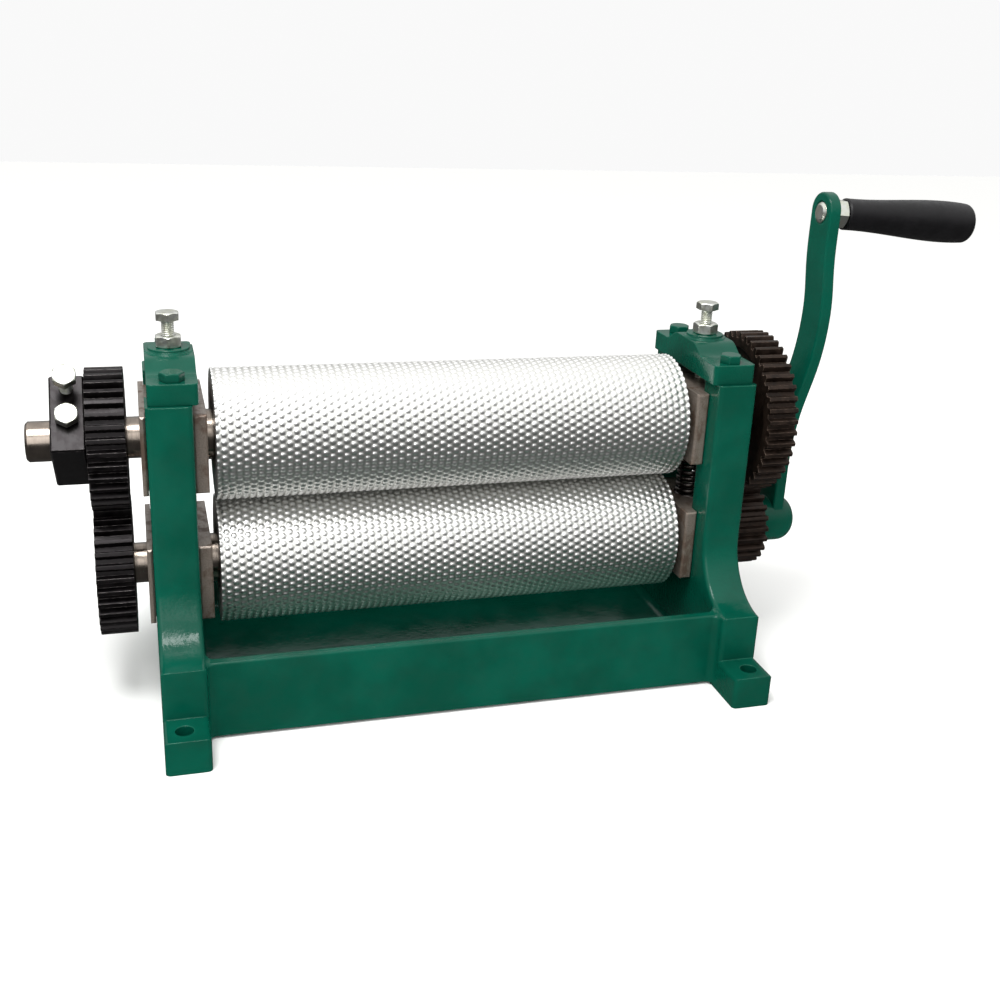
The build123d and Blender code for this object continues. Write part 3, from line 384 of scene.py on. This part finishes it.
def ground_iron(finishes):
    """Ground, bare cast iron of the bearing blocks: soft directional scratches under brown oil stains."""
    material, tree, shader = new_material("ground_cast_iron", Metallic=0.5)
    scratches = noise(tree, place_of(tree, stretch=(1, 0.12, 1)), 0.8, 3, 0.65)
    stains = between(tree, noise(tree, place_of(tree, stretch=(1, 1, 0.6)), 9, 5, 0.62), 0.47, 0.64)
    body = mixed(tree, between(tree, scratches, 0.3, 0.7), [0.7 * c for c in finishes.ground], finishes.ground)
    body = mixed(tree, combined(tree, stains, 0.7), body, finishes.stain)
    edge, rounded = edges_of(tree, 0.5)
    body = mixed(tree, combined(tree, edge, 0.6), body, finishes.turned)
    tree.links.new(body, shader.inputs["Base Color"])
    tree.links.new(between(tree, stains, 0, 1, 0.28, 0.45), shader.inputs["Roughness"])
    tree.links.new(bumped(tree, scratches, 0.025, rounded), shader.inputs["Normal"])
    return material


def toothed_steel(name, colour, edge_highlight_colour, sheen, metallic):
    """Hobbed gear steel: near-black flanks, with pale lines painted along the edges as highlights."""
    material, tree, shader = new_material(name, Metallic=metallic)
    place = place_of(tree)
    blotches = between(tree, noise(tree, place, 6, 4, 0.6), 0.35, 0.65)
    body = mixed(tree, blotches, [0.6 * c for c in colour], [1.35 * c for c in colour])
    edge, rounded = edges_of(tree, 0.45)
    broken_highlight = between(tree, noise(tree, place, 2.5, 3), 0.36, 0.58)
    # Pale lines along the tooth edges, broken up by noise: painted highlights.
    body = mixed(tree, combined(tree, edge, broken_highlight), body, edge_highlight_colour)
    tree.links.new(body, shader.inputs["Base Color"])
    tree.links.new(between(tree, blotches, 0, 1, sheen * 0.85, sheen * 1.2), shader.inputs["Roughness"])
    cut = noise(tree, place_of(tree, stretch=(1, 0.15, 0.15)), 0.9, 2)
    tree.links.new(bumped(tree, cut, 0.02, rounded), shader.inputs["Normal"])
    return material


def zinc_plate(fasteners):
    """Bright zinc plate with a clear passivation: silvery, faintly yellow-green and a little cloudy."""
    material, tree, shader = new_material("passivated_zinc_plate", Metallic=1.0)
    place = place_of(tree)
    cloud = between(tree, noise(tree, place, 5, 3), 0.35, 0.65)
    tree.links.new(
        mixed(tree, combined(tree, cloud, 0.45), fasteners.zinc, fasteners.chromate), shader.inputs["Base Color"]
    )
    tree.links.new(between(tree, noise(tree, place, 2, 3), 0.3, 0.7, 0.28, 0.42), shader.inputs["Roughness"])
    _, rounded = edges_of(tree, 0.3)
    tree.links.new(bumped(tree, noise(tree, place, 0.7, 2), 0.01, rounded), shader.inputs["Normal"])
    return material


def grip_plastic(finishes):
    """Moulded black polypropylene: a fine spark-eroded skin that spreads the highlight."""
    material, tree, shader = new_material("moulded_polypropylene", IOR=1.49, Specular_IOR_Level=0.3)
    place = place_of(tree)
    cloud = between(tree, noise(tree, place, 12, 3), 0.35, 0.65)
    tree.links.new(
        mixed(tree, cloud, finishes.grip, [1.5 * c for c in finishes.grip]), shader.inputs["Base Color"]
    )
    tree.links.new(between(tree, noise(tree, place, 4, 3), 0.3, 0.7, 0.34, 0.46), shader.inputs["Roughness"])
    tree.links.new(bumped(tree, noise(tree, place, 0.6, 2), 0.02), shader.inputs["Normal"])
    return material


# ---- Meshes -------------------------------------------------------------------------------------


def new_piece(name, vertices, faces, material, body, slot, *nodes, smooth=True):
    """Object whose place is in its mesh, which rides on a body and stands for the named nodes."""
    mesh = bpy.data.meshes.new(name)
    mesh.from_pydata(vertices.tolist(), [], faces)
    mesh.polygons.foreach_set("use_smooth", np.full(len(mesh.polygons), smooth))
    mesh.materials.append(material)
    mesh.update()
    piece = bpy.data.objects.new(name, mesh)
    bpy.context.scene.collection.objects.link(piece)
    if nodes:
        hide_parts(*nodes)
    if body:
        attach(piece, body)
    return piece


def sheet_faces(rows, columns, close_rows=False):
    """Quads of a grid whose columns close on themselves, and whose rows may too, facing outwards
    when the rows run up a counter-clockwise ring."""
    row = np.arange(rows if close_rows else rows - 1)[:, None]
    column = np.arange(columns)[None, :]
    after, beside = (row + 1) % rows, (column + 1) % columns
    corners = (row * columns + column, row * columns + beside, after * columns + beside, after * columns + column)
    return np.stack(np.broadcast_arrays(*corners), -1).reshape(-1, 4).tolist()


def capped(points):
    """Vertices and faces of a grid of rings (rows, columns, 3) closed by a centre point at each end."""
    rows, columns = points.shape[:2]
    vertices = np.concatenate([points.reshape(-1, 3), points[:1].mean(1), points[-1:].mean(1)])
    ring = np.arange(columns)
    beside = (ring + 1) % columns
    first = np.stack([np.full(columns, rows * columns), beside, ring], -1)
    top = (rows - 1) * columns
    last = np.stack([np.full(columns, rows * columns + 1), top + ring, top + beside], -1)
    return vertices, sheet_faces(rows, columns) + first.tolist() + last.tolist()


def hexagon_radius(angle, flats, sharpness=60):
    """Radius of a hexagon with slightly rounded corners: a power mean of its three pairs of sides."""
    sides = np.abs(np.cos(angle[..., None] - np.arange(3) * math.pi / 3)) ** sharpness
    return flats / 2 / sides.sum(-1) ** (1 / sharpness)


def chamfered_hexagon(angle, height, flats, thickness, both_ends):
    """Radius of a hexagon head: the smaller of the hexagon and a 30 degree cone at its end or ends."""
    cone = TURNED_FACE * flats + (thickness - height) * math.sqrt(3)
    if both_ends:
        cone = np.minimum(cone, TURNED_FACE * flats + height * math.sqrt(3))
    return np.minimum(hexagon_radius(angle, flats), cone)


def thread_radius(angle, height, diameter, pitch, handed=1):
    """Radius of a screw thread: a triangle wave of the height less the angle's share of a turn."""
    phase = (height / pitch - handed * angle / TAU) % 1.0
    return diameter / 2 - THREAD_DEPTH * pitch * np.abs(2 * phase - 1)


def hexagon_screw(flats, head, diameter, pitch, reach):
    """Rings of a screw along its own z: tip at -reach, underside of the head at 0 and its top at head.

    The shank follows thread_radius, run out to a smooth neck under the head and a point at the tip.
    """
    columns = SCREW_SIDES
    angle = np.arange(columns) * TAU / columns
    steps = max(int(reach / pitch * 6), 12)
    shank = np.linspace(-reach, 0, steps + 1)
    height, turn = np.meshgrid(shank, angle, indexing="ij")
    thread = thread_radius(turn, height, diameter, pitch)
    core = diameter / 2 - THREAD_DEPTH * pitch
    tip = core - 0.25 * pitch + np.clip(height + reach, 0, None) * 1.2
    neck = np.clip((height + 1.2 * pitch) / (0.6 * pitch), 0, 1)
    radius = np.minimum(thread * (1 - neck) + (core + 0.3 * pitch) * neck, np.maximum(tip, 0.2 * diameter))
    rim = np.array([0.0, 0.0, 0.035, 0.05])
    face = np.array([0.5 * diameter, 0.46 * flats, TURNED_FACE * flats, 0.0])
    washer = np.repeat(np.minimum(face[:3], TURNED_FACE * flats)[:, None], columns, 1)
    washer_height = np.repeat((rim[:3] * head)[:, None], columns, 1)
    body = np.array([0.05, 0.07, 0.3, 0.6, 0.75, 0.82, 0.88, 0.93, 0.97, 1.0]) * head
    side_height, side_turn = np.meshgrid(body, angle, indexing="ij")
    side = chamfered_hexagon(side_turn, side_height, flats, head, False)
    side[0] = TURNED_FACE * flats
    crown = np.array([0.44, 0.2])[:, None] * flats * np.ones(columns)
    heights = [height, washer_height, side_height, np.full_like(crown, head)]
    radii = [radius, washer, side, crown]
    z, r = np.concatenate(heights), np.concatenate(radii)
    return np.stack([r * np.cos(angle), r * np.sin(angle), z], -1)


def hexagon_nut(flats, height, bore):
    """Rings of a nut along its own z from 0 to height: round the outside, then back down the bore."""
    columns = SCREW_SIDES
    angle = np.arange(columns) * TAU / columns
    share = np.array([0, 0.03, 0.07, 0.12, 0.2, 0.5, 0.8, 0.88, 0.93, 0.97, 1.0])
    z, turn = np.meshgrid(share * height, angle, indexing="ij")
    r = chamfered_hexagon(turn, z, flats, height, True)
    lead = 0.08 * bore
    inner_z = np.array([height, height - lead, lead, 0])[:, None] * np.ones(columns)
    inner_r = np.array([bore / 2 + lead, bore / 2, bore / 2, bore / 2 + lead])[:, None] * np.ones(columns)
    z, r = np.concatenate([z, inner_z]), np.concatenate([r, inner_r])
    return np.stack([r * np.cos(angle), r * np.sin(angle), z], -1)


def placed(points, origin, direction):
    """Points moved so that their own z runs from the origin along a direction."""
    turn = np.array(Vector(direction).to_track_quat("Z", "Y").to_matrix())
    return points @ turn.T + np.array(origin)


def centre_line(name, direction, keep=None):
    """Ends of a turned CAD piece: its middle across a direction, and its lowest and highest points
    along it. Keep picks which of the node's vertices count, by a test on their places."""
    place = np.array([vertex.co for vertex in frame["nodes"][name].data.vertices])
    if keep is not None:
        place = place[keep(place)]
    axes = np.array(Vector(direction).to_track_quat("Z", "Y").to_matrix())
    local = place @ axes
    low, high = local.min(0), local.max(0)
    middle = (low + high) / 2
    return axes @ (middle[0], middle[1], low[2]), axes @ (middle[0], middle[1], high[2])


def softened(name, width, material, segments=2, limit=32):
    """Finished copy of a CAD node: its triangles merged, flat faces joined and sharp edges rounded."""
    source = frame["nodes"][name]
    mesh = source.data.copy()
    mesh.name = f"{name}_finished"
    work = bmesh.new()
    work.from_mesh(mesh)
    bmesh.ops.remove_doubles(work, verts=work.verts, dist=0.002 * MM)
    bmesh.ops.dissolve_limit(
        work, angle_limit=math.radians(0.3), use_dissolve_boundaries=False, verts=work.verts, edges=work.edges
    )
    work.to_mesh(mesh)
    work.free()
    mesh.materials.clear()
    mesh.materials.append(material)
    mesh.polygons.foreach_set("use_smooth", np.full(len(mesh.polygons), True))
    piece = bpy.data.objects.new(f"{name}_finished", mesh)
    bpy.context.scene.collection.objects.link(piece)
    bevel = piece.modifiers.new("soft edges", "BEVEL")
    bevel.width = width * MM
    bevel.segments = segments
    bevel.limit_method = "ANGLE"
    bevel.angle_limit = math.radians(limit)
    bevel.use_clamp_overlap = True
    normals = piece.modifiers.new("flat faces", "WEIGHTED_NORMAL")
    normals.keep_sharp = True
    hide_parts(name)
    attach(piece, body_of[name])
    return piece


def repaint(name, material):
    """Gives a CAD node, whose shape stays as it is, a finished material."""
    mesh = frame["nodes"][name].data
    mesh.materials.clear()
    mesh.materials.append(material)


# ---- Rolls --------------------------------------------------------------------------------------


def cell_template(embossing):
    """One cell flattened: places along and across the roll and a height, for 25 points.

    They are the crown's point and four hexagons: the stud's inner crown, its rim, its foot and the
    cell's outline, whose corners three neighbouring cells share.
    """
    outline = embossing.pitch / math.sqrt(3)
    foot = outline - embossing.groove / math.sqrt(3)
    rim = foot - embossing.slope
    rings = [(0.5 * rim, -0.25 * embossing.crown), (rim, -embossing.crown)]
    rings += [(foot, -embossing.crown - embossing.depth), (outline, -embossing.crown - embossing.depth)]
    angle = np.arange(6) * math.pi / 3
    points = [np.zeros((1, 3))]
    for radius, height in rings:
        points.append(np.stack([radius * np.cos(angle), radius * np.sin(angle), np.full(6, height)], -1))
    return np.concatenate(points)


def cell_triangles():
    """Triangles of a cell: a fan round its crown, then two between each pair of hexagons' corners."""
    step = np.arange(6)
    beside = (step + 1) % 6
    faces = [np.stack([np.zeros(6, int), 1 + step, 1 + beside], -1)]
    for ring in range(3):
        inner, outer = 1 + 6 * ring, 7 + 6 * ring
        faces.append(np.stack([inner + step, outer + step, outer + beside], -1))
        faces.append(np.stack([inner + step, outer + beside, inner + beside], -1))
    return np.concatenate(faces)


def embossed_roll(half_length, radius, axis_height, embossing):
    """Vertices and faces of a roll: the cell repeated on a hexagonal lattice and wrapped round.

    Columns stand pitch times cos 30 apart along X, and odd ones are turned by half a cell. Points
    past the ends are brought back to them, which cuts the last studs off flat. The ends are left
    open here; roll_ends gives the rings that close them down to the bore.
    """
    around = round(TAU * radius / embossing.pitch)
    columns = int(2 * half_length / (embossing.pitch * math.cos(math.pi / 6))) + 1
    template = cell_template(embossing)
    column = np.arange(columns)[:, None, None]
    cell = np.arange(around)[None, :, None]
    x = (column - (columns - 1) / 2) * embossing.pitch * math.cos(math.pi / 6) + template[:, 0]
    turn = (cell + (column % 2) / 2 + template[:, 1] / embossing.pitch) * TAU / around
    reach = radius + template[:, 2]
    x, turn, reach = np.broadcast_arrays(x, turn, reach)
    x = np.clip(x, -half_length, half_length)
    key = np.stack([np.rint(x / (0.02 * MM)), np.rint((turn % TAU) / TAU * around * 60) % (around * 60)], -1)
    key = np.concatenate([key, np.rint(reach / (0.02 * MM))[..., None]], -1).reshape(-1, 3)
    _, first, same = np.unique(key, axis=0, return_index=True, return_inverse=True)
    points = np.stack([x, reach * np.cos(turn), axis_height + reach * np.sin(turn)], -1).reshape(-1, 3)[first]
    start = np.arange(columns * around)[:, None, None] * len(template)
    faces = same.reshape(-1)[(start + cell_triangles()).reshape(-1, 3)]
    edge = np.stack([faces, np.roll(faces, -1, 1)], -1)
    faces = faces[(edge[..., 0] != edge[..., 1]).all(1)]
    return points, faces


def roll_ends(points, half_length, axis_height, bore):
    """Rings that close a roll: from the open edge at each end, into a shallow recess and the bore."""
    place = points - (0, 0, axis_height)
    reach = np.hypot(place[:, 1], place[:, 2])
    loops = []
    for sign in (-1, 1):
        edge = np.flatnonzero((np.abs(place[:, 0] - sign * half_length) < 1e-6) & (reach < reach.min() + 1e-6))
        loops.append(edge[np.argsort(np.arctan2(place[edge, 2], place[edge, 1]))])
    profile = ((bore / 2 + RECESS_LIP, 0), (bore / 2 + RECESS_FLOOR, END_RECESS), (bore / 2, END_RECESS))
    rings = []
    for sign, loop in zip((-1, 1), loops):
        angle = np.arctan2(place[loop, 2], place[loop, 1])
        for radius, inset in profile:
            ring = np.stack(
                [
                    np.full(len(loop), sign * (half_length - inset)),
                    radius * np.cos(angle),
                    axis_height + radius * np.sin(angle),
                ],
                -1,
            )
            rings.append(ring)
    return loops, rings


class MillRolls(bpy.types.Operator):
    """Make the two embossed rolls"""

    bl_idname = "mill.rolls"
    bl_label = "Embossed rolls"

    def execute(self, context):
        embossing = context.scene.mill_embossing
        for level in LEVELS:
            low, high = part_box(f"{level}_roll")
            half_length, radius = (high.x - low.x) / 2, (high.z - low.z) / 2
            axis_height = (high.z + low.z) / 2
            points, faces = embossed_roll(half_length, radius, axis_height, embossing)
            loops, rings = roll_ends(points, half_length, axis_height, embossing.bore)
            count = len(points)
            all_points = np.concatenate([points, *rings])
            bands = []
            columns = len(loops[0])
            firsts = [count + k * columns + np.arange(columns) for k in range(6)]
            chains = ([loops[0], *firsts[:3]], [loops[1], *firsts[3:]])
            for sign, chain in zip((-1, 1), chains):
                for outer, inner in zip(chain, chain[1:]):
                    band = np.stack([outer, inner, np.roll(inner, -1), np.roll(outer, -1)], -1)
                    bands.append(band if sign < 0 else band[:, ::-1])
            bands.append(np.stack([firsts[2], firsts[5], np.roll(firsts[5], -1), np.roll(firsts[2], -1)], -1))
            name = f"{level}_roll_embossed"
            finish = embossed_aluminium(f"engraved_aluminium_{level}", axis_height, radius, embossing)
            all_faces = faces.tolist() + np.concatenate(bands).tolist()
            piece = new_piece(
                name, all_points, all_faces, finish, f"{level}_rotor", "roll_aluminium", f"{level}_roll"
            )
            piece.data.set_sharp_from_angle(angle=STUD_CREASE)
        return {"FINISHED"}


# ---- Pieces that keep their CAD shape ------------------------------------------------------------


class MillCastings(bpy.types.Operator):
    """Finish the painted castings, the painted cap bolts and the crank arm"""

    bl_idname = "mill.castings"
    bl_label = "Painted castings"

    def execute(self, context):
        enamel = gloss_enamel(context.scene.mill_finishes)
        softened("cast_frame", 0.8, enamel)
        softened("crank_arm", 0.6, enamel)
        for side in SIDES:
            softened(f"{side}_cap", 0.8, enamel)
            softened(f"{side}_cap_bolts", 0.5, enamel)
        return {"FINISHED"}


class MillBearings(bpy.types.Operator):
    """Finish the bearing blocks and the bronze bushes"""

    bl_idname = "mill.bearings"
    bl_label = "Bearings"

    def execute(self, context):
        finishes = context.scene.mill_finishes
        ground = ground_iron(finishes)
        bronze = turned_steel("bearing_bronze", finishes.bronze, 0.3)
        for level in LEVELS:
            for side in SIDES:
                softened(f"{level}_{side}_block", 0.35, ground)
                repaint(f"{level}_{side}_bush", bronze)
        repaint("crank_bush", bronze)
        return {"FINISHED"}


class MillShafts(bpy.types.Operator):
    """Finish the shafts, keys, pins and the crank's retaining screw"""

    bl_idname = "mill.shafts"
    bl_label = "Shafts and keys"

    def execute(self, context):
        steel = turned_steel("turned_mild_steel", context.scene.mill_finishes.turned, 0.2)
        for name in ("upper_shaft", "lower_shaft"):
            softened(name, 0.3, steel)
        for name in ("drive_gear_key", "timing_gear_key", "phase_pin", "pinion_dowels", "crank_retaining_screw"):
            repaint(name, steel)
        return {"FINISHED"}


class MillGears(bpy.types.Operator):
    """Finish the four gears and the phase dog"""

    bl_idname = "mill.gears"
    bl_label = "Gears and phase dog"

    def execute(self, context):
        finishes = context.scene.mill_finishes
        black = toothed_steel("black_oxide_steel", finishes.black, finishes.tooth_edge_highlight, 0.34, 0.75)
        oiled = toothed_steel("oiled_cast_iron", finishes.oiled, finishes.oiled_edge_highlight, 0.46, 0.6)
        for name in ("upper_timing_gear", "lower_timing_gear"):
            softened(name, 0.25, black)
        softened("phase_dog", 0.3, black)
        for name in ("drive_gear", "crank_pinion"):
            softened(name, 0.3, oiled)
        return {"FINISHED"}


# ---- Screws, springs and handle ------------------------------------------------------------------


def make_screw(name, node, direction, sizes, material, keep=None):
    """Threaded hexagon screw in the place of a CAD screw whose head faces along a direction."""
    flats, head, diameter, pitch = sizes
    tip, top = centre_line(node, direction, keep)
    reach = np.linalg.norm(top - tip) - head
    under_head = top - np.array(direction) * head
    vertices, faces = capped(placed(hexagon_screw(flats, head, diameter, pitch, reach), under_head, direction))
    piece = new_piece(name, vertices, faces, material, body_of[node], slot_of[node], node)
    piece.data.set_sharp_from_angle(angle=SCREW_CREASE)
    return piece


class MillScrews(bpy.types.Operator):
    """Make the adjusting screws, lock nuts, dog screws and end bolts, with real threads"""

    bl_idname = "mill.screws"
    bl_label = "Screws and nuts"

    def execute(self, context):
        sizes = context.scene.mill_fasteners
        zinc = zinc_plate(sizes)
        adjusting = (sizes.adjusting_flats, sizes.adjusting_head, sizes.thread, sizes.pitch)
        small = (sizes.small_flats, sizes.small_head, sizes.thread, sizes.pitch)
        for side in SIDES:
            node = f"{side}_adjusting_screw"
            make_screw(f"{node}_threaded", node, (0, 0, 1), adjusting, zinc)
            node = f"{side}_lock_nut"
            low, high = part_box(node)
            rings = hexagon_nut(sizes.lock_nut_flats, high.z - low.z, sizes.thread * 1.02)
            rings = placed(rings, ((low.x + high.x) / 2, 0, low.z), (0, 0, 1))
            faces = sheet_faces(rings.shape[0], rings.shape[1], close_rows=True)
            nut = new_piece(
                f"{node}_chamfered", rings.reshape(-1, 3), faces, zinc, body_of[node], slot_of[node], node
            )
            nut.data.set_sharp_from_angle(angle=SCREW_CREASE)
        axis = np.array(joint_places["upper_roll_spin"])
        forward = np.array((0, -math.sqrt(0.5), math.sqrt(0.5)))
        make_screw("dog_set_screw_threaded", "dog_set_screw", forward, small, zinc)
        for where, sign in (("front", 1), ("back", -1)):
            make_screw(
                f"phase_screw_{where}",
                "phase_screws",
                sign * forward,
                small,
                zinc,
                keep=lambda place, sign=sign: (place - axis) @ forward * sign > 0,
            )
        for gear, sign in (("drive", 1), ("timing", -1)):
            make_screw(f"{gear}_gear_bolt_threaded", f"{gear}_gear_bolt", (sign, 0, 0), small, zinc)
            softened(f"{gear}_gear_washer", 0.25, zinc)
        return {"FINISHED"}


def coil(radius, wire, low, high, turns):
    """Rings of a compression spring: a helix whose first and last turns lie closed, ground flat.

    The centre line climbs one wire thickness over each end turn and evenly between them.
    """
    steps, around = int(turns * 28), 12
    turn = np.linspace(0, turns, steps + 1)
    bottom, top = low + wire * 0.45, high - wire * 0.45
    climb = np.interp(turn, [0, 1, turns - 1, turns], [bottom, bottom + wire, top - wire, top])
    centre = np.stack([radius * np.cos(turn * TAU), radius * np.sin(turn * TAU), climb], -1)
    outward = np.stack([np.cos(turn * TAU), np.sin(turn * TAU), np.zeros_like(turn)], -1)
    forward = np.gradient(centre, axis=0)
    forward /= np.linalg.norm(forward, axis=1, keepdims=True)
    upward = np.cross(forward, outward)
    angle = np.arange(around) * TAU / around
    ring = centre[:, None] + wire / 2 * (
        np.cos(angle)[:, None] * outward[:, None] - np.sin(angle)[:, None] * upward[:, None]
    )
    ring[..., 2] = np.clip(ring[..., 2], low, high)
    return ring


class MillSpringPair(bpy.types.Operator):
    """Make the two coil springs"""

    bl_idname = "mill.springs"
    bl_label = "Springs"

    def execute(self, context):
        sizes = context.scene.mill_springs
        steel = turned_steel("oiled_spring_wire", sizes.steel, 0.3)
        for side in SIDES:
            node = f"{side}_spring"
            low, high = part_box(node)
            radius = (high.x - low.x) / 2 - sizes.wire / 2
            rings = coil(radius, sizes.wire, low.z, high.z, sizes.turns)
            rings += ((low.x + high.x) / 2, 0, 0)
            vertices, faces = capped(rings)
            piece = new_piece(f"{node}_coil", vertices, faces, steel, None, slot_of[node], node)
            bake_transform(piece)
        return {"FINISHED"}


class MillHandle(bpy.types.Operator):
    """Finish the riveted spindle and the plastic grip"""

    bl_idname = "mill.handle"
    bl_label = "Handle"

    def execute(self, context):
        zinc = bpy.data.materials.get("passivated_zinc_plate") or zinc_plate(context.scene.mill_fasteners)
        softened("handle_spindle", 0.35, zinc)
        softened("handle_grip", 0.3, grip_plastic(context.scene.mill_finishes))
        return {"FINISHED"}


# ---- Stage --------------------------------------------------------------------------------------


def softbox(name, power, size, place, target):
    """Square area light at a place, facing a target."""
    light = bpy.data.lights.new(name, "AREA")
    light.energy = power
    light.size = size
    lamp = bpy.data.objects.new(name, light)
    bpy.context.scene.collection.objects.link(lamp)
    lamp.location = place
    lamp.rotation_euler = (Vector(target) - Vector(place)).to_track_quat("-Z", "Y").to_euler()


class MillStage(bpy.types.Operator):
    """Set the camera, the pale floor and the soft studio light"""

    bl_idname = "mill.stage"
    bl_label = "Stage"

    def execute(self, context):
        studio = context.scene.mill_studio
        camera = bpy.data.cameras.new("camera")
        camera.lens = studio.lens
        camera.sensor_width = 36
        camera.shift_x, camera.shift_y = studio.shift
        camera.clip_start = 0.01
        holder = bpy.data.objects.new("camera", camera)
        context.scene.collection.objects.link(holder)
        heading, dip = studio.heading, studio.dip
        ahead = Vector(
            (math.sin(heading) * math.cos(dip), math.cos(heading) * math.cos(dip), -math.sin(dip))
        )
        level = Vector((math.cos(heading), -math.sin(heading), 0))
        upright = level.cross(ahead)
        right = math.cos(studio.tilt) * level + math.sin(studio.tilt) * upright
        up = math.cos(studio.tilt) * upright - math.sin(studio.tilt) * level
        holder.matrix_world = Matrix.Translation(studio.eye) @ Matrix((right, up, -ahead)).transposed().to_4x4()
        context.scene.camera = holder

        half = studio.floor_width / 2
        corners = np.array([(-half, -half, 0), (half, -half, 0), (half, half, 0), (-half, half, 0)])
        mesh = bpy.data.meshes.new("floor")
        mesh.from_pydata(corners.tolist(), [], [(0, 1, 2, 3)])
        paint, _, shader = new_material("matt_floor_paint", Roughness=0.8)
        shader.inputs["Base Color"].default_value = (*studio.floor, 1)
        mesh.materials.append(paint)
        floor = bpy.data.objects.new("floor", mesh)
        context.scene.collection.objects.link(floor)
        floor.visible_glossy = False

        middle = (cad_box[0] + cad_box[1]) / 2
        softbox("overhead", studio.key, KEY_SIZE, KEY_PLACE, middle)
        softbox("front", studio.fill, FILL_SIZE, FILL_PLACE, middle)
        world = bpy.data.worlds.new("studio")
        world.use_nodes = True
        tree = world.node_tree
        # The room is dark below the table's edge and brightest overhead; only the backdrop shows white.
        direction = add(tree, "ShaderNodeTexCoord").outputs["Generated"]
        height = add(tree, "ShaderNodeSeparateXYZ", {"Vector": direction}).outputs["Z"]
        room = between(tree, height, -0.2, 0.9, studio.below, studio.zenith)
        seen = add(tree, "ShaderNodeLightPath").outputs["Is Camera Ray"]
        strength = add(tree, "ShaderNodeMix", {"Factor": seen, "A": room, "B": studio.backdrop})
        tree.links.new(strength.outputs["Result"], tree.nodes["Background"].inputs["Strength"])
        tree.nodes["Background"].inputs["Color"].default_value = (1, 1, 1, 1)
        context.scene.world = world
        context.scene.view_settings.view_transform = "Standard"
        return {"FINISHED"}


# ---- Add-on -------------------------------------------------------------------------------------

OPERATORS = (
    MillStage,
    MillRolls,
    MillCastings,
    MillBearings,
    MillShafts,
    MillGears,
    MillScrews,
    MillSpringPair,
    MillHandle,
)
GROUPS = {
    "mill_embossing": MillEmbossing,
    "mill_fasteners": MillFasteners,
    "mill_springs": MillSprings,
    "mill_finishes": MillFinishes,
    "mill_studio": MillStudio,
}


class MillPanel(bpy.types.Panel):
    """Buttons that make each group of pieces"""

    bl_idname = "VIEW3D_PT_mill"
    bl_label = "Roller Mill"
    bl_space_type = "VIEW_3D"
    bl_region_type = "UI"
    bl_category = "Mill"

    def draw(self, context):
        for operator in OPERATORS:
            self.layout.operator(operator.bl_idname)


def register():
    for cls in (*GROUPS.values(), *OPERATORS, MillPanel):
        bpy.utils.register_class(cls)
    for name, group in GROUPS.items():
        setattr(bpy.types.Scene, name, PointerProperty(type=group))


def unregister():
    for name in GROUPS:
        delattr(bpy.types.Scene, name)
    for cls in reversed((*GROUPS.values(), *OPERATORS, MillPanel)):
        bpy.utils.unregister_class(cls)


def main():
    register()
    for operator in OPERATORS:
        group, name = operator.bl_idname.split(".")
        getattr(getattr(bpy.ops, group), name)()


if __name__ == "__main__":
    main()
